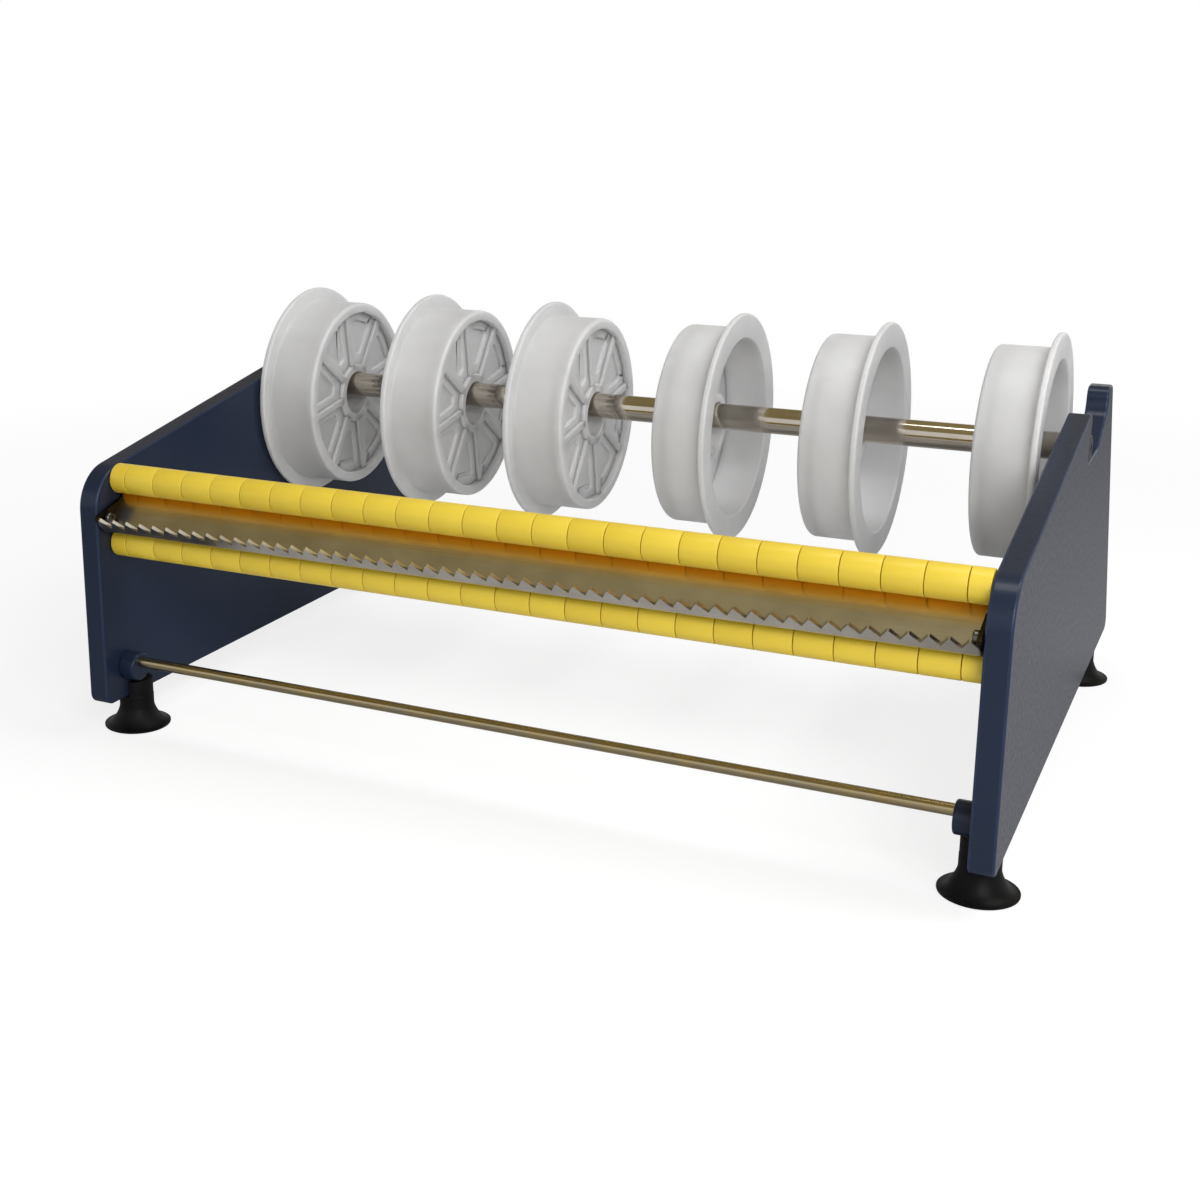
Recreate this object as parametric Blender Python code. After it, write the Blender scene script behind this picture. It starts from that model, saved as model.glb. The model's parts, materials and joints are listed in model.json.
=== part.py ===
"""Bench-top label dispenser that holds six core discs on a lift-out shaft.

Units are metres, +Z is up, +X runs along the shaft and the front faces -Y.
The origin is the centre of the bounding box at table level. Places along the
depth are given from the front edges of the side plates and shifted once.
"""

import math

import bmesh
import bpy
from mathutils import Matrix, Vector

# Frame of the dispenser
INNER_WIDTH = 0.315
PLATE_THICKNESS = 0.008
PLATE_EDGE_BREAK = 0.0008
TABLE_CLEARANCE = 0.013
FOOT_CORNER_RADIUS = 0.004
KNEE_RADIUS = 0.016
SLOPE_HEIGHT = 0.101
SLOPE_ANGLE = math.radians(10.1)
LIP_RADIUS = 0.0035
LIP_LEAN = math.radians(18.0)
FLOOR_ANGLE = math.radians(2.0)
NOTCH_LENGTH = 0.024
RAMP_RISE = 0.0058
HEEL_RADIUS = 0.008
HORN_SETBACK = 0.043
HORN_LEAN = math.radians(8.0)
HORN_RISE = 0.0146
HORN_TOP_WIDTH = 0.012
HORN_RADIUS = 0.0045
REAR_LEAN = math.radians(28.0)

# Running gap that pieces keep where they touch, and the overrun of every cut
GAP = 0.0003
OVERRUN = 0.002

# Roll shaft
SHAFT_DEPTH = 0.150
SHAFT_HEIGHT = 0.1132
SHAFT_RADIUS = 0.005
SHAFT_WALL = 0.001
PLUG_HEAD = 0.0016
PLUG_LENGTH = 0.012

# Core discs, which fit a 76 mm (3 in) label core
DRUM_RADIUS = 0.0385
DRUM_WALL = 0.004
DRUM_WIDTH = 0.0225
DRUM_EDGE = 0.0012
FLANGE_RADIUS = 0.044
FLANGE_THICKNESS = 0.0022
WEB_THICKNESS = 0.0024
WEB_RECESS = 0.003
HUB_BORE_RADIUS = 0.009
HUB_WALL = 0.0033
HUB_LENGTH = 0.010
SPOKE_COUNT = 8
SPOKE_TURN = math.radians(10.0)
SPOKE_WIDTH = 0.003
SPOKE_PROUD = 0.0018
POCKET_DEPTH = 0.0012
POCKET_MARGIN = 0.0035
POCKET_INNER_MARGIN = 0.0045
POCKET_SPOKE_MARGIN = 0.003
FLANGE_FACE_SHARES = (-0.4959, -0.3152, -0.1425, 0.1162, 0.2937, 0.4863)

# Rollers made of loose sleeves on rods
UPPER_ROLLER_DEPTH = 0.0135
UPPER_ROLLER_DROP = 0.0027
LOWER_ROLLER_DEPTH = 0.0122
ROLLER_CLEARANCE = 0.0126
SLEEVE_RADIUS = 0.0055
SLEEVE_PLAY = 0.00035
SLEEVE_PITCH = 0.0251
GROOVE_WIDTH = 0.0008
GROOVE_DEPTH = 0.0004
COLLAR_LEAST = 0.002
ROD_RADIUS = 0.003
ROD_SEAT = 0.004

# Tear bar, a folded sheet with teeth along its front lip
TEAR_TIP_REACH = 0.003
TEAR_LIP_RISE = 0.0066
TEAR_BEND_DEPTH = 0.004
TEAR_BACK_DEPTH = 0.0156
TEAR_WEB_RISE = 0.01225
TEAR_CLEARANCE = 0.00115
TEAR_SHEET = 0.0012
TOOTH_COUNT = 54
TOOTH_LENGTH = 0.005
TOOTH_TIP_LAND = 0.0005
EAR_THICKNESS = 0.0015
EAR_LIP_SHARE = 0.95
EAR_BACK_SHARE = 0.95
EAR_SCREW_RISE = 0.006
SCREW_RADIUS = 0.00125
SCREW_HEAD_RADIUS = 0.0023
SCREW_HEAD_HEIGHT = 0.0016
SCREW_HEAD_EDGE = 0.0006
SCREW_REACH = 0.004

# Tie rod and its bosses
TIE_ROD_DEPTH = 0.0128
TIE_ROD_HEIGHT = 0.0278
TIE_ROD_RADIUS = 0.002
BOSS_RADIUS = 0.0054
BOSS_LENGTH = 0.0065
BOSS_DROP = 0.002
BOSS_EDGE = 0.0008

# Suction cups
CUP_RADIUS = 0.0125
CUP_NECK_RADIUS = 0.0065
CUP_RIM_HEIGHT = 0.0008
CUP_RIM_WIDTH = 0.0014
CUP_SHOULDER_HEIGHT = 0.008
CUP_HOLLOW_HEIGHT = 0.003
CUP_INSET = 0.003
CUP_LUG_HEIGHT = 0.006
CUP_LUG_INSET = 0.0001
CUP_UPPER_HEIGHT_SHARE = 0.667
CUP_UPPER_FLARE_SHARE = 0.333
CUP_LOWER_HEIGHT_SHARE = 0.267
CUP_LOWER_FLARE_SHARE = 0.833
CUP_HOLLOW_HEIGHT_SHARE = 0.667
CUP_HOLLOW_RADIUS_SHARE = 0.5
FRONT_CUP_DEPTH = 0.0186
REAR_CUP_SETBACK = 0.0343
PEG_RADIUS = 0.002
PEG_LENGTH = 0.008

# Faceting
ARC_STEP = math.radians(18.0)
DISC_SIDES = 24
BORE_SIDES = 16
SLEEVE_SIDES = 12
SCREW_SIDES = 10
CUP_SIDES = 16

# Values worked out from the sizes above
PLATE_INNER = INNER_WIDTH / 2
PLATE_OUTER = PLATE_INNER + PLATE_THICKNESS
PLATE_MIDDLE = PLATE_INNER + PLATE_THICKNESS / 2
SEAT_RADIUS = SHAFT_RADIUS + GAP
RAMP_START = SHAFT_DEPTH + NOTCH_LENGTH
RAMP_TOP = SHAFT_HEIGHT + RAMP_RISE
HORN_FRONT = SHAFT_DEPTH + HORN_SETBACK
HORN_HEIGHT = SHAFT_HEIGHT + HORN_RISE
HORN_BACK = HORN_FRONT + HORN_TOP_WIDTH
PLATE_DEPTH = HORN_BACK + (HORN_HEIGHT - TABLE_CLEARANCE) * math.tan(REAR_LEAN)
DISC_DROP = HUB_BORE_RADIUS - SHAFT_RADIUS - GAP
PLUG_BODY_RADIUS = SHAFT_RADIUS - SHAFT_WALL - GAP
HUB_RADIUS = HUB_BORE_RADIUS + HUB_WALL
DRUM_INNER = DRUM_RADIUS - DRUM_WALL
SLEEVE_BORE_RADIUS = ROD_RADIUS + SLEEVE_PLAY
SLEEVE_COUNT = int((INNER_WIDTH - 2 * COLLAR_LEAST) / SLEEVE_PITCH)
COLLAR_LENGTH = (INNER_WIDTH - SLEEVE_PITCH * SLEEVE_COUNT) / 2
UPPER_ROLLER_HEIGHT = SLOPE_HEIGHT - UPPER_ROLLER_DROP
LOWER_ROLLER_HEIGHT = UPPER_ROLLER_HEIGHT - 2 * SLEEVE_RADIUS - ROLLER_CLEARANCE
TEAR_BACK_HEIGHT = UPPER_ROLLER_HEIGHT - SLEEVE_RADIUS - TEAR_CLEARANCE
TEAR_BEND_HEIGHT = TEAR_BACK_HEIGHT - TEAR_WEB_RISE
TEAR_TIP_HEIGHT = TEAR_BEND_HEIGHT + TEAR_LIP_RISE
EAR_SCREW_HEIGHT = TEAR_BEND_HEIGHT + EAR_SCREW_RISE
REAR_CUP_DEPTH = PLATE_DEPTH - REAR_CUP_SETBACK


def rounded_outline(corners):
    """Round each (y, z, radius) corner of a closed outline."""
    points = []
    for index, (y, z, radius) in enumerate(corners):
        corner = Vector((y, z))
        before = (Vector(corners[index - 1][:2]) - corner).normalized()
        after = (Vector(corners[(index + 1) % len(corners)][:2]) - corner).normalized()
        half = before.angle(after) / 2
        centre = corner + (before + after).normalized() * (radius / math.sin(half))
        start = corner + before * (radius / math.tan(half)) - centre
        turn = math.pi - 2 * half
        sign = 1 if before.x * after.y - before.y * after.x < 0 else -1
        steps = max(1, math.ceil(turn / ARC_STEP))
        for step in range(steps + 1):
            angle = sign * turn * step / steps
            swung = Vector((
                start.x * math.cos(angle) - start.y * math.sin(angle),
                start.x * math.sin(angle) + start.y * math.cos(angle),
            ))
            points.append(tuple(centre + swung))
    return points


def crossing(first, first_lean, second, second_lean):
    """Where two (depth, height) lines meet, each given by a point and its lean from upright."""
    way = Vector((math.sin(first_lean), math.cos(first_lean)))
    other = Vector((math.sin(second_lean), math.cos(second_lean)))
    apart = Vector(second) - Vector(first)
    reach = (apart.x * other.y - apart.y * other.x) / (way.x * other.y - way.y * other.x)
    return tuple(Vector(first) + way * reach)


def plate_outline():
    """Outline of a side plate, in depth from its front edge and in height.

    The notch's front wall and floor both touch the circle that the shaft lies
    in, and the wall leans back over the shaft.
    """
    upright = math.pi / 2
    slope = ((0, SLOPE_HEIGHT), upright - SLOPE_ANGLE)
    wall_depth = SHAFT_DEPTH - SEAT_RADIUS * math.cos(LIP_LEAN)
    wall = ((wall_depth, SHAFT_HEIGHT + SEAT_RADIUS * math.sin(LIP_LEAN)), LIP_LEAN)
    floor_foot = (SHAFT_DEPTH, SHAFT_HEIGHT - SEAT_RADIUS / math.cos(FLOOR_ANGLE))
    floor = (floor_foot, upright - FLOOR_ANGLE)
    horn = ((HORN_FRONT, RAMP_TOP), HORN_LEAN)
    corners = (
        (0, TABLE_CLEARANCE, FOOT_CORNER_RADIUS),
        (0, SLOPE_HEIGHT, KNEE_RADIUS),
        (*crossing(*slope, *wall), LIP_RADIUS),
        (*crossing(*wall, *floor), SEAT_RADIUS),
        (*crossing(*floor, (RAMP_START, 0), 0), HEEL_RADIUS),
        (HORN_FRONT, RAMP_TOP, HEEL_RADIUS),
        (*crossing(*horn, (0, HORN_HEIGHT), upright), HORN_RADIUS),
        (HORN_BACK, HORN_HEIGHT, HORN_RADIUS),
        (PLATE_DEPTH, TABLE_CLEARANCE, FOOT_CORNER_RADIUS),
    )
    return rounded_outline(corners)


PLATE_OUTLINE = plate_outline()
DEPTH_SHIFT = (TEAR_TIP_REACH - max(depth for depth, _ in PLATE_OUTLINE)) / 2


def along_depth(value):
    """Depth measured from the plates' front edges, as a world Y."""
    return value + DEPTH_SHIFT


def clear_scene():
    """Remove every object that the file holds."""
    for item in list(bpy.data.objects):
        bpy.data.objects.remove(item, do_unlink=True)


def finish(name, colour, roughness, metallic):
    """One Principled BSDF material."""
    made = bpy.data.materials.new(name)
    made.use_nodes = True
    shader = made.node_tree.nodes["Principled BSDF"]
    shader.inputs["Base Color"].default_value = (*colour, 1)
    shader.inputs["Roughness"].default_value = roughness
    shader.inputs["Metallic"].default_value = metallic
    return made


def navy_coat():
    return finish("navy_coat", (0.024, 0.035, 0.075), 0.42, 0)


def polished_steel():
    return finish("polished_steel", (0.62, 0.6, 0.57), 0.16, 1)


def chromed_steel():
    return finish("chromed_steel", (0.7, 0.7, 0.7), 0.08, 1)


def light_plastic():
    return finish("light_plastic", (0.56, 0.56, 0.57), 0.45, 0)


def yellow_plastic():
    return finish("yellow_plastic", (0.86, 0.6, 0.05), 0.38, 0)


def black_rubber():
    return finish("black_rubber", (0.012, 0.012, 0.013), 0.5, 0)


def black_plastic():
    return finish("black_plastic", (0.01, 0.01, 0.01), 0.45, 0)


def zinc_steel():
    return finish("zinc_steel", (0.4, 0.4, 0.4), 0.3, 1)


def make_object(name, shape, material, place=(0, 0, 0), parent=None):
    """Store a bmesh as a named object and shade its round faces smooth."""
    mesh = bpy.data.meshes.new(name)
    bmesh.ops.recalc_face_normals(shape, faces=shape.faces)
    shape.to_mesh(mesh)
    shape.free()
    mesh.shade_smooth()
    mesh.set_sharp_from_angle(angle=math.radians(30))
    item = bpy.data.objects.new(name, mesh)
    item.data.materials.append(material)
    item.location = place
    item.parent = parent
    bpy.context.scene.collection.objects.link(item)
    return item


def copy_object(source, name, place, parent=None):
    """A second object on the same mesh, with the same modifiers."""
    item = source.copy()
    item.name = name
    item.location = place
    item.parent = parent
    bpy.context.scene.collection.objects.link(item)
    return item


def make_cutter(name, shape, place=(0, 0, 0)):
    """A hidden helper object for a Boolean."""
    mesh = bpy.data.meshes.new(name)
    bmesh.ops.recalc_face_normals(shape, faces=shape.faces)
    shape.to_mesh(mesh)
    shape.free()
    item = bpy.data.objects.new(name, mesh)
    item.location = place
    item.hide_render = True
    item.display_type = "WIRE"
    bpy.context.scene.collection.objects.link(item)
    return item


def combine(item, tool, operation):
    """Cut one object with another, or join the two."""
    step = item.modifiers.new(tool.name, "BOOLEAN")
    step.operation = operation
    step.solver = "EXACT"
    step.object = tool


def prism(shape, outline, start, end):
    """Extrude a (y, z) outline along X, from start to end."""
    near = [shape.verts.new((start, y, z)) for y, z in outline]
    far = [shape.verts.new((end, y, z)) for y, z in outline]
    shape.faces.new(near)
    shape.faces.new(reversed(far))
    for index in range(len(outline)):
        other = (index + 1) % len(outline)
        shape.faces.new((near[index], far[index], far[other], near[other]))


def turned(shape, profile, sides, centre=(0, 0, 0), closed=True):
    """Turn an (x, radius) profile about the X line through centre.

    A closed profile goes round a hollow section. An open one starts and ends
    on the axis.
    """
    shift = Vector(centre)
    rows = []
    for along, radius in profile:
        if radius == 0:
            rows.append([shape.verts.new(shift + Vector((along, 0, 0)))])
            continue
        row = []
        for side in range(sides):
            angle = math.tau * side / sides
            offset = Vector((along, radius * math.cos(angle), radius * math.sin(angle)))
            row.append(shape.verts.new(shift + offset))
        rows.append(row)
    pairs = list(zip(rows, rows[1:]))
    if closed:
        pairs.append((rows[-1], rows[0]))
    for first, second in pairs:
        for side in range(sides):
            other = (side + 1) % sides
            if len(first) == 1:
                corners = (first[0], second[side], second[other])
            elif len(second) == 1:
                corners = (first[side], second[0], first[other])
            else:
                corners = (first[side], second[side], second[other], first[other])
            shape.faces.new(corners)


def solid_cylinder(shape, radius, start, end, sides, centre=(0, 0, 0)):
    """A plain cylinder along X."""
    profile = ((start, 0), (start, radius), (end, radius), (end, 0))
    turned(shape, profile, sides, centre, closed=False)


def stand_up(shape):
    """Turn a shape made along X so that its +X end points up."""
    bmesh.ops.rotate(shape, verts=shape.verts, matrix=Matrix.Rotation(-math.pi / 2, 3, "Y"))


def tear_screw_place():
    """Depth and height of the screw that holds one ear of the tear bar."""
    return (along_depth(TEAR_BEND_DEPTH), EAR_SCREW_HEIGHT)


def cup_places():
    """Name, X and Y of each suction cup, a little inside the middle of its plate."""
    across = PLATE_MIDDLE - CUP_INSET
    for side_name, side in (("left", -1), ("right", 1)):
        for end_name, depth in (("front", FRONT_CUP_DEPTH), ("rear", REAR_CUP_DEPTH)):
            yield f"{end_name}_{side_name}", side * across, along_depth(depth)


def inner_bores():
    """Depth, height, radius and reach of what stands in the inner face of a plate."""
    return (
        (UPPER_ROLLER_DEPTH, UPPER_ROLLER_HEIGHT, ROD_RADIUS, ROD_SEAT),
        (LOWER_ROLLER_DEPTH, LOWER_ROLLER_HEIGHT, ROD_RADIUS, ROD_SEAT),
        (TIE_ROD_DEPTH, TIE_ROD_HEIGHT, TIE_ROD_RADIUS, ROD_SEAT),
        (TEAR_BEND_DEPTH, EAR_SCREW_HEIGHT, SCREW_RADIUS, SCREW_REACH),
    )


def side_plate(side_name, side, material):
    """One side plate with the bores in its inner face and in its bottom edge."""
    faces = sorted((side * PLATE_INNER, side * PLATE_OUTER))
    shape = bmesh.new()
    prism(shape, [(along_depth(depth), height) for depth, height in PLATE_OUTLINE], *faces)
    plate = make_object(f"side_plate_{side_name}", shape, material)
    edges = plate.modifiers.new("edge_break", "BEVEL")
    edges.width = PLATE_EDGE_BREAK
    edges.segments = 1
    edges.limit_method = "ANGLE"
    edges.angle_limit = math.radians(60)

    holes = bmesh.new()
    open_end = side * (PLATE_INNER - OVERRUN)
    for depth, height, radius, reach in inner_bores():
        ends = sorted((open_end, side * (PLATE_INNER + reach + GAP)))
        solid_cylinder(holes, radius + GAP, *ends, SCREW_SIDES, (0, along_depth(depth), height))
    combine(plate, make_cutter(f"cut_bores_{side_name}", holes), "DIFFERENCE")

    bottom = TABLE_CLEARANCE - OVERRUN
    top = TABLE_CLEARANCE - GAP + PEG_LENGTH + GAP
    for name, across, depth in cup_places():
        if across * side > 0:
            hole = bmesh.new()
            solid_cylinder(hole, PEG_RADIUS + GAP, bottom, top, SCREW_SIDES)
            stand_up(hole)
            cutter = make_cutter(f"cut_peg_{name}", hole, (side * PLATE_MIDDLE, depth, 0))
            combine(plate, cutter, "DIFFERENCE")
    return plate


def shaft_axis():
    """Empty on the shaft's axis, which carries all that lifts out with it."""
    axis = bpy.data.objects.new("shaft_axis", None)
    axis.location = (0, along_depth(SHAFT_DEPTH), SHAFT_HEIGHT)
    bpy.context.scene.collection.objects.link(axis)
    return axis


def roll_shaft(axis, material):
    """Tube that lies in the notches of both plates."""
    half = PLATE_OUTER - PLUG_HEAD - GAP
    bore = SHAFT_RADIUS - SHAFT_WALL
    profile = ((-half, bore), (-half, SHAFT_RADIUS), (half, SHAFT_RADIUS), (half, bore))
    shape = bmesh.new()
    turned(shape, profile, BORE_SIDES)
    return make_object("roll_shaft", shape, material, parent=axis)


def shaft_plug(side_name, side, axis, material):
    """Plug with a head as wide as the shaft and a body inside its bore."""
    tip = side * (PLATE_OUTER - PLUG_HEAD - PLUG_LENGTH)
    shoulder = side * (PLATE_OUTER - PLUG_HEAD)
    end = side * PLATE_OUTER
    profile = (
        (tip, 0),
        (tip, PLUG_BODY_RADIUS),
        (shoulder, PLUG_BODY_RADIUS),
        (shoulder, SHAFT_RADIUS),
        (end, SHAFT_RADIUS),
        (end, 0),
    )
    shape = bmesh.new()
    turned(shape, profile, BORE_SIDES, closed=False)
    return make_object(f"shaft_plug_{side_name}", shape, material, parent=axis)


def disc_profile():
    """Section of a core disc, with its flange at x = 0 and its web at the free end."""
    web_out = DRUM_WIDTH - WEB_RECESS
    web_in = web_out - WEB_THICKNESS
    hub_in = web_out - HUB_LENGTH
    return (
        (hub_in, HUB_BORE_RADIUS),
        (web_out + SPOKE_PROUD, HUB_BORE_RADIUS),
        (web_out + SPOKE_PROUD, HUB_RADIUS),
        (web_out, HUB_RADIUS),
        (web_out, DRUM_INNER),
        (DRUM_WIDTH, DRUM_INNER),
        (DRUM_WIDTH, DRUM_RADIUS - DRUM_EDGE),
        (DRUM_WIDTH - DRUM_EDGE, DRUM_RADIUS),
        (FLANGE_THICKNESS, DRUM_RADIUS),
        (FLANGE_THICKNESS, FLANGE_RADIUS),
        (0, FLANGE_RADIUS),
        (0, DRUM_INNER),
        (web_in, DRUM_INNER),
        (web_in, HUB_RADIUS),
        (hub_in, HUB_RADIUS),
    )


def disc_pockets():
    """Pockets between the spokes, sunk in the web's outer face, as one cutter shape."""
    shape = bmesh.new()
    outer = DRUM_INNER - POCKET_MARGIN
    inner = HUB_RADIUS + POCKET_INNER_MARGIN
    start = DRUM_WIDTH - WEB_RECESS - POCKET_DEPTH
    end = DRUM_WIDTH - WEB_RECESS + OVERRUN
    for pocket in range(SPOKE_COUNT):
        middle = SPOKE_TURN + math.tau * (pocket + 1 / 2) / SPOKE_COUNT
        outline = []
        for radius, direction in ((inner, 1), (outer, -1)):
            margin = SPOKE_WIDTH / 2 + POCKET_SPOKE_MARGIN
            half = math.pi / SPOKE_COUNT - math.asin(margin / radius)
            for place in (1, 0, -1):
                angle = middle + direction * place * half
                outline.append((radius * math.cos(angle), radius * math.sin(angle)))
        prism(shape, outline, start, end)
    return shape


def disc_spokes():
    """Radial ribs that stand out of the web's outer face, as one joining shape."""
    shape = bmesh.new()
    web_out = DRUM_WIDTH - WEB_RECESS
    start = web_out - WEB_THICKNESS / 2
    end = web_out + SPOKE_PROUD - GAP
    inner = HUB_RADIUS - HUB_WALL / 2
    outer = DRUM_INNER + DRUM_WALL / 2
    half = SPOKE_WIDTH / 2
    for spoke in range(SPOKE_COUNT):
        angle = SPOKE_TURN + math.tau * spoke / SPOKE_COUNT
        outline = []
        for radius, side in ((inner, -half), (outer, -half), (outer, half), (inner, half)):
            y = radius * math.cos(angle) - side * math.sin(angle)
            z = radius * math.sin(angle) + side * math.cos(angle)
            outline.append((y, z))
        prism(shape, outline, start, end)
    return shape


def core_discs(axis, material):
    """Six discs: the left three have their flange on the left, the right three on the right."""
    shape = bmesh.new()
    turned(shape, disc_profile(), DISC_SIDES)
    faces = [INNER_WIDTH * share for share in FLANGE_FACE_SHARES]
    first = make_object("core_disc_1", shape, material, (faces[0], 0, -DISC_DROP), axis)
    pockets = make_cutter("cut_pockets", disc_pockets())
    spokes = make_cutter("join_spokes", disc_spokes())
    discs = [first]
    for number, face in enumerate(faces[1:], start=2):
        discs.append(copy_object(first, f"core_disc_{number}", (face, 0, -DISC_DROP), axis))
    for number, disc in enumerate(discs, start=1):
        cut = pockets
        join = spokes
        if number > 1:
            cut = copy_object(pockets, f"cut_pockets_{number}", (0, 0, 0))
            join = copy_object(spokes, f"join_spokes_{number}", (0, 0, 0))
        cut.parent = disc
        join.parent = disc
        combine(disc, cut, "DIFFERENCE")
        combine(disc, join, "UNION")
        if 2 * number > len(discs):
            disc.rotation_euler = (0, 0, math.pi)
    return discs


def cross_rod(name, radius, depth, height, material):
    """Rod whose ends stand in the bores of both plates."""
    half = PLATE_INNER + ROD_SEAT
    shape = bmesh.new()
    solid_cylinder(shape, radius, -half, half, BORE_SIDES)
    return make_object(name, shape, material, (0, along_depth(depth), height))


def end_collar(name, side, depth, height, material):
    """Short fixed-length collar between a plate and the outermost sleeve."""
    start = side * (PLATE_INNER - COLLAR_LENGTH + GAP / 2)
    end = side * (PLATE_INNER - GAP)
    profile = (
        (start, SLEEVE_BORE_RADIUS),
        (start, SLEEVE_RADIUS),
        (end, SLEEVE_RADIUS),
        (end, SLEEVE_BORE_RADIUS),
    )
    shape = bmesh.new()
    turned(shape, profile, SLEEVE_SIDES)
    return make_object(name, shape, material, (0, along_depth(depth), height))


def sleeve_profile():
    """Section of a roller sleeve, with a groove round its middle."""
    half = (SLEEVE_PITCH - GAP) / 2
    lip = GROOVE_WIDTH / 2
    return (
        (-half, SLEEVE_BORE_RADIUS),
        (-half, SLEEVE_RADIUS),
        (-lip, SLEEVE_RADIUS),
        (0, SLEEVE_RADIUS - GROOVE_DEPTH),
        (lip, SLEEVE_RADIUS),
        (half, SLEEVE_RADIUS),
        (half, SLEEVE_BORE_RADIUS),
    )


def roller_sleeves(name, depth, height, material):
    """Loose sleeves that fill a rod between its collars."""
    shape = bmesh.new()
    turned(shape, sleeve_profile(), SLEEVE_SIDES)
    sleeves = []
    for number in range(SLEEVE_COUNT):
        middle = (number + 1 / 2 - SLEEVE_COUNT / 2) * SLEEVE_PITCH
        place = (middle, along_depth(depth), height)
        label = f"{name}_sleeve_{number + 1:02d}"
        if sleeves:
            sleeves.append(copy_object(sleeves[0], label, place))
        else:
            sleeves.append(make_object(label, shape, material, place))
    return sleeves


def tear_points():
    """Tip, bend and back edge of the folded sheet, and the inward normals of its two walls."""
    tip = Vector((along_depth(-TEAR_TIP_REACH), TEAR_TIP_HEIGHT))
    bend = Vector((along_depth(TEAR_BEND_DEPTH), TEAR_BEND_HEIGHT))
    back = Vector((along_depth(TEAR_BACK_DEPTH), TEAR_BACK_HEIGHT))
    lip = (tip - bend).normalized()
    web = (back - bend).normalized()
    return tip, bend, back, Vector((lip.y, -lip.x)), Vector((-web.y, web.x))


def tear_notches():
    """Notches between the teeth, as one cutter shape."""
    tip, bend, _, normal, _ = tear_points()
    lip = (tip - bend).normalized()
    pitch = (INNER_WIDTH - 2 * GAP) / TOOTH_COUNT
    half = (pitch - TOOTH_TIP_LAND) / 2
    root = tip - lip * TOOTH_LENGTH
    widen = half * (TOOTH_LENGTH + OVERRUN) / TOOTH_LENGTH
    shape = bmesh.new()
    for notch in range(TOOTH_COUNT - 1):
        middle = (notch + 1 - TOOTH_COUNT / 2) * pitch
        faces = []
        for reach in (-OVERRUN, TEAR_SHEET + OVERRUN):
            outer = tip + lip * OVERRUN + normal * reach
            inner = root + normal * reach
            faces.append([
                shape.verts.new((middle, *inner)),
                shape.verts.new((middle - widen, *outer)),
                shape.verts.new((middle + widen, *outer)),
            ])
        near, far = faces
        shape.faces.new(near)
        shape.faces.new(reversed(far))
        for index in range(3):
            other = (index + 1) % 3
            shape.faces.new((near[index], far[index], far[other], near[other]))
    return shape


def tear_bar(material):
    """Folded sheet with a toothed front lip and an ear at each end."""
    tip, bend, back, lip_normal, web_normal = tear_points()
    inside = lip_normal + web_normal
    miter = inside / (inside.dot(lip_normal)) * TEAR_SHEET
    outer = [tip, bend, back]
    outline = [*outer, back + web_normal * TEAR_SHEET, bend + miter, tip + lip_normal * TEAR_SHEET]
    half = PLATE_INNER - GAP
    shape = bmesh.new()
    prism(shape, [tuple(point) for point in outline], -half, half)
    bar = make_object("tear_bar", shape, material)
    combine(bar, make_cutter("cut_notches", tear_notches()), "DIFFERENCE")

    middle = bend + miter / 2
    lip_end = middle + (tip - bend) * EAR_LIP_SHARE
    back_end = middle + (back - bend) * EAR_BACK_SHARE
    ears = bmesh.new()
    for side in (-1, 1):
        ends = sorted((side * half, side * (half - EAR_THICKNESS)))
        prism(ears, [tuple(middle), tuple(back_end), tuple(lip_end)], *ends)
    combine(bar, make_cutter("join_ears", ears), "UNION")

    bores = bmesh.new()
    for side in (-1, 1):
        ends = sorted((side * (half + OVERRUN), side * (half - EAR_THICKNESS - OVERRUN)))
        solid_cylinder(bores, SCREW_RADIUS + GAP, *ends, SCREW_SIDES, (0, *tear_screw_place()))
    combine(bar, make_cutter("cut_ear_bores", bores), "DIFFERENCE")
    return bar


def rod_boss(side_name, side, material):
    """Round boss on the inner face of a plate, which the tie rod passes above its middle."""
    base = side * (PLATE_INNER - GAP)
    front = side * (PLATE_INNER - BOSS_LENGTH)
    step = side * BOSS_EDGE
    profile = (
        (base, 0),
        (base, BOSS_RADIUS),
        (front + step, BOSS_RADIUS),
        (front, BOSS_RADIUS - BOSS_EDGE),
        (front, 0),
    )
    shape = bmesh.new()
    turned(shape, profile, BORE_SIDES, closed=False)
    depth = along_depth(TIE_ROD_DEPTH)
    boss = make_object(f"rod_boss_{side_name}", shape, material, (0, depth, TIE_ROD_HEIGHT - BOSS_DROP))
    bore = bmesh.new()
    ends = sorted((base + side * OVERRUN, front - side * OVERRUN))
    solid_cylinder(bore, TIE_ROD_RADIUS + GAP, *ends, SCREW_SIDES)
    combine(boss, make_cutter(f"cut_boss_{side_name}", bore, (0, depth, TIE_ROD_HEIGHT)), "DIFFERENCE")
    return boss


def tear_bar_screw(side_name, side, material):
    """Screw through an ear of the tear bar into the plate, with its head inside the fold."""
    seat = side * (PLATE_INNER - GAP - EAR_THICKNESS - GAP)
    top = seat - side * SCREW_HEAD_HEIGHT
    crown = top + side * SCREW_HEAD_EDGE
    tip = side * (PLATE_INNER + SCREW_REACH)
    profile = (
        (tip, 0),
        (tip, SCREW_RADIUS),
        (seat, SCREW_RADIUS),
        (seat, SCREW_HEAD_RADIUS),
        (crown, SCREW_HEAD_RADIUS),
        (top, SCREW_HEAD_RADIUS - SCREW_HEAD_EDGE),
        (top, 0),
    )
    shape = bmesh.new()
    turned(shape, profile, SCREW_SIDES, closed=False)
    return make_object(f"tear_bar_screw_{side_name}", shape, material, (0, *tear_screw_place()))


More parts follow.
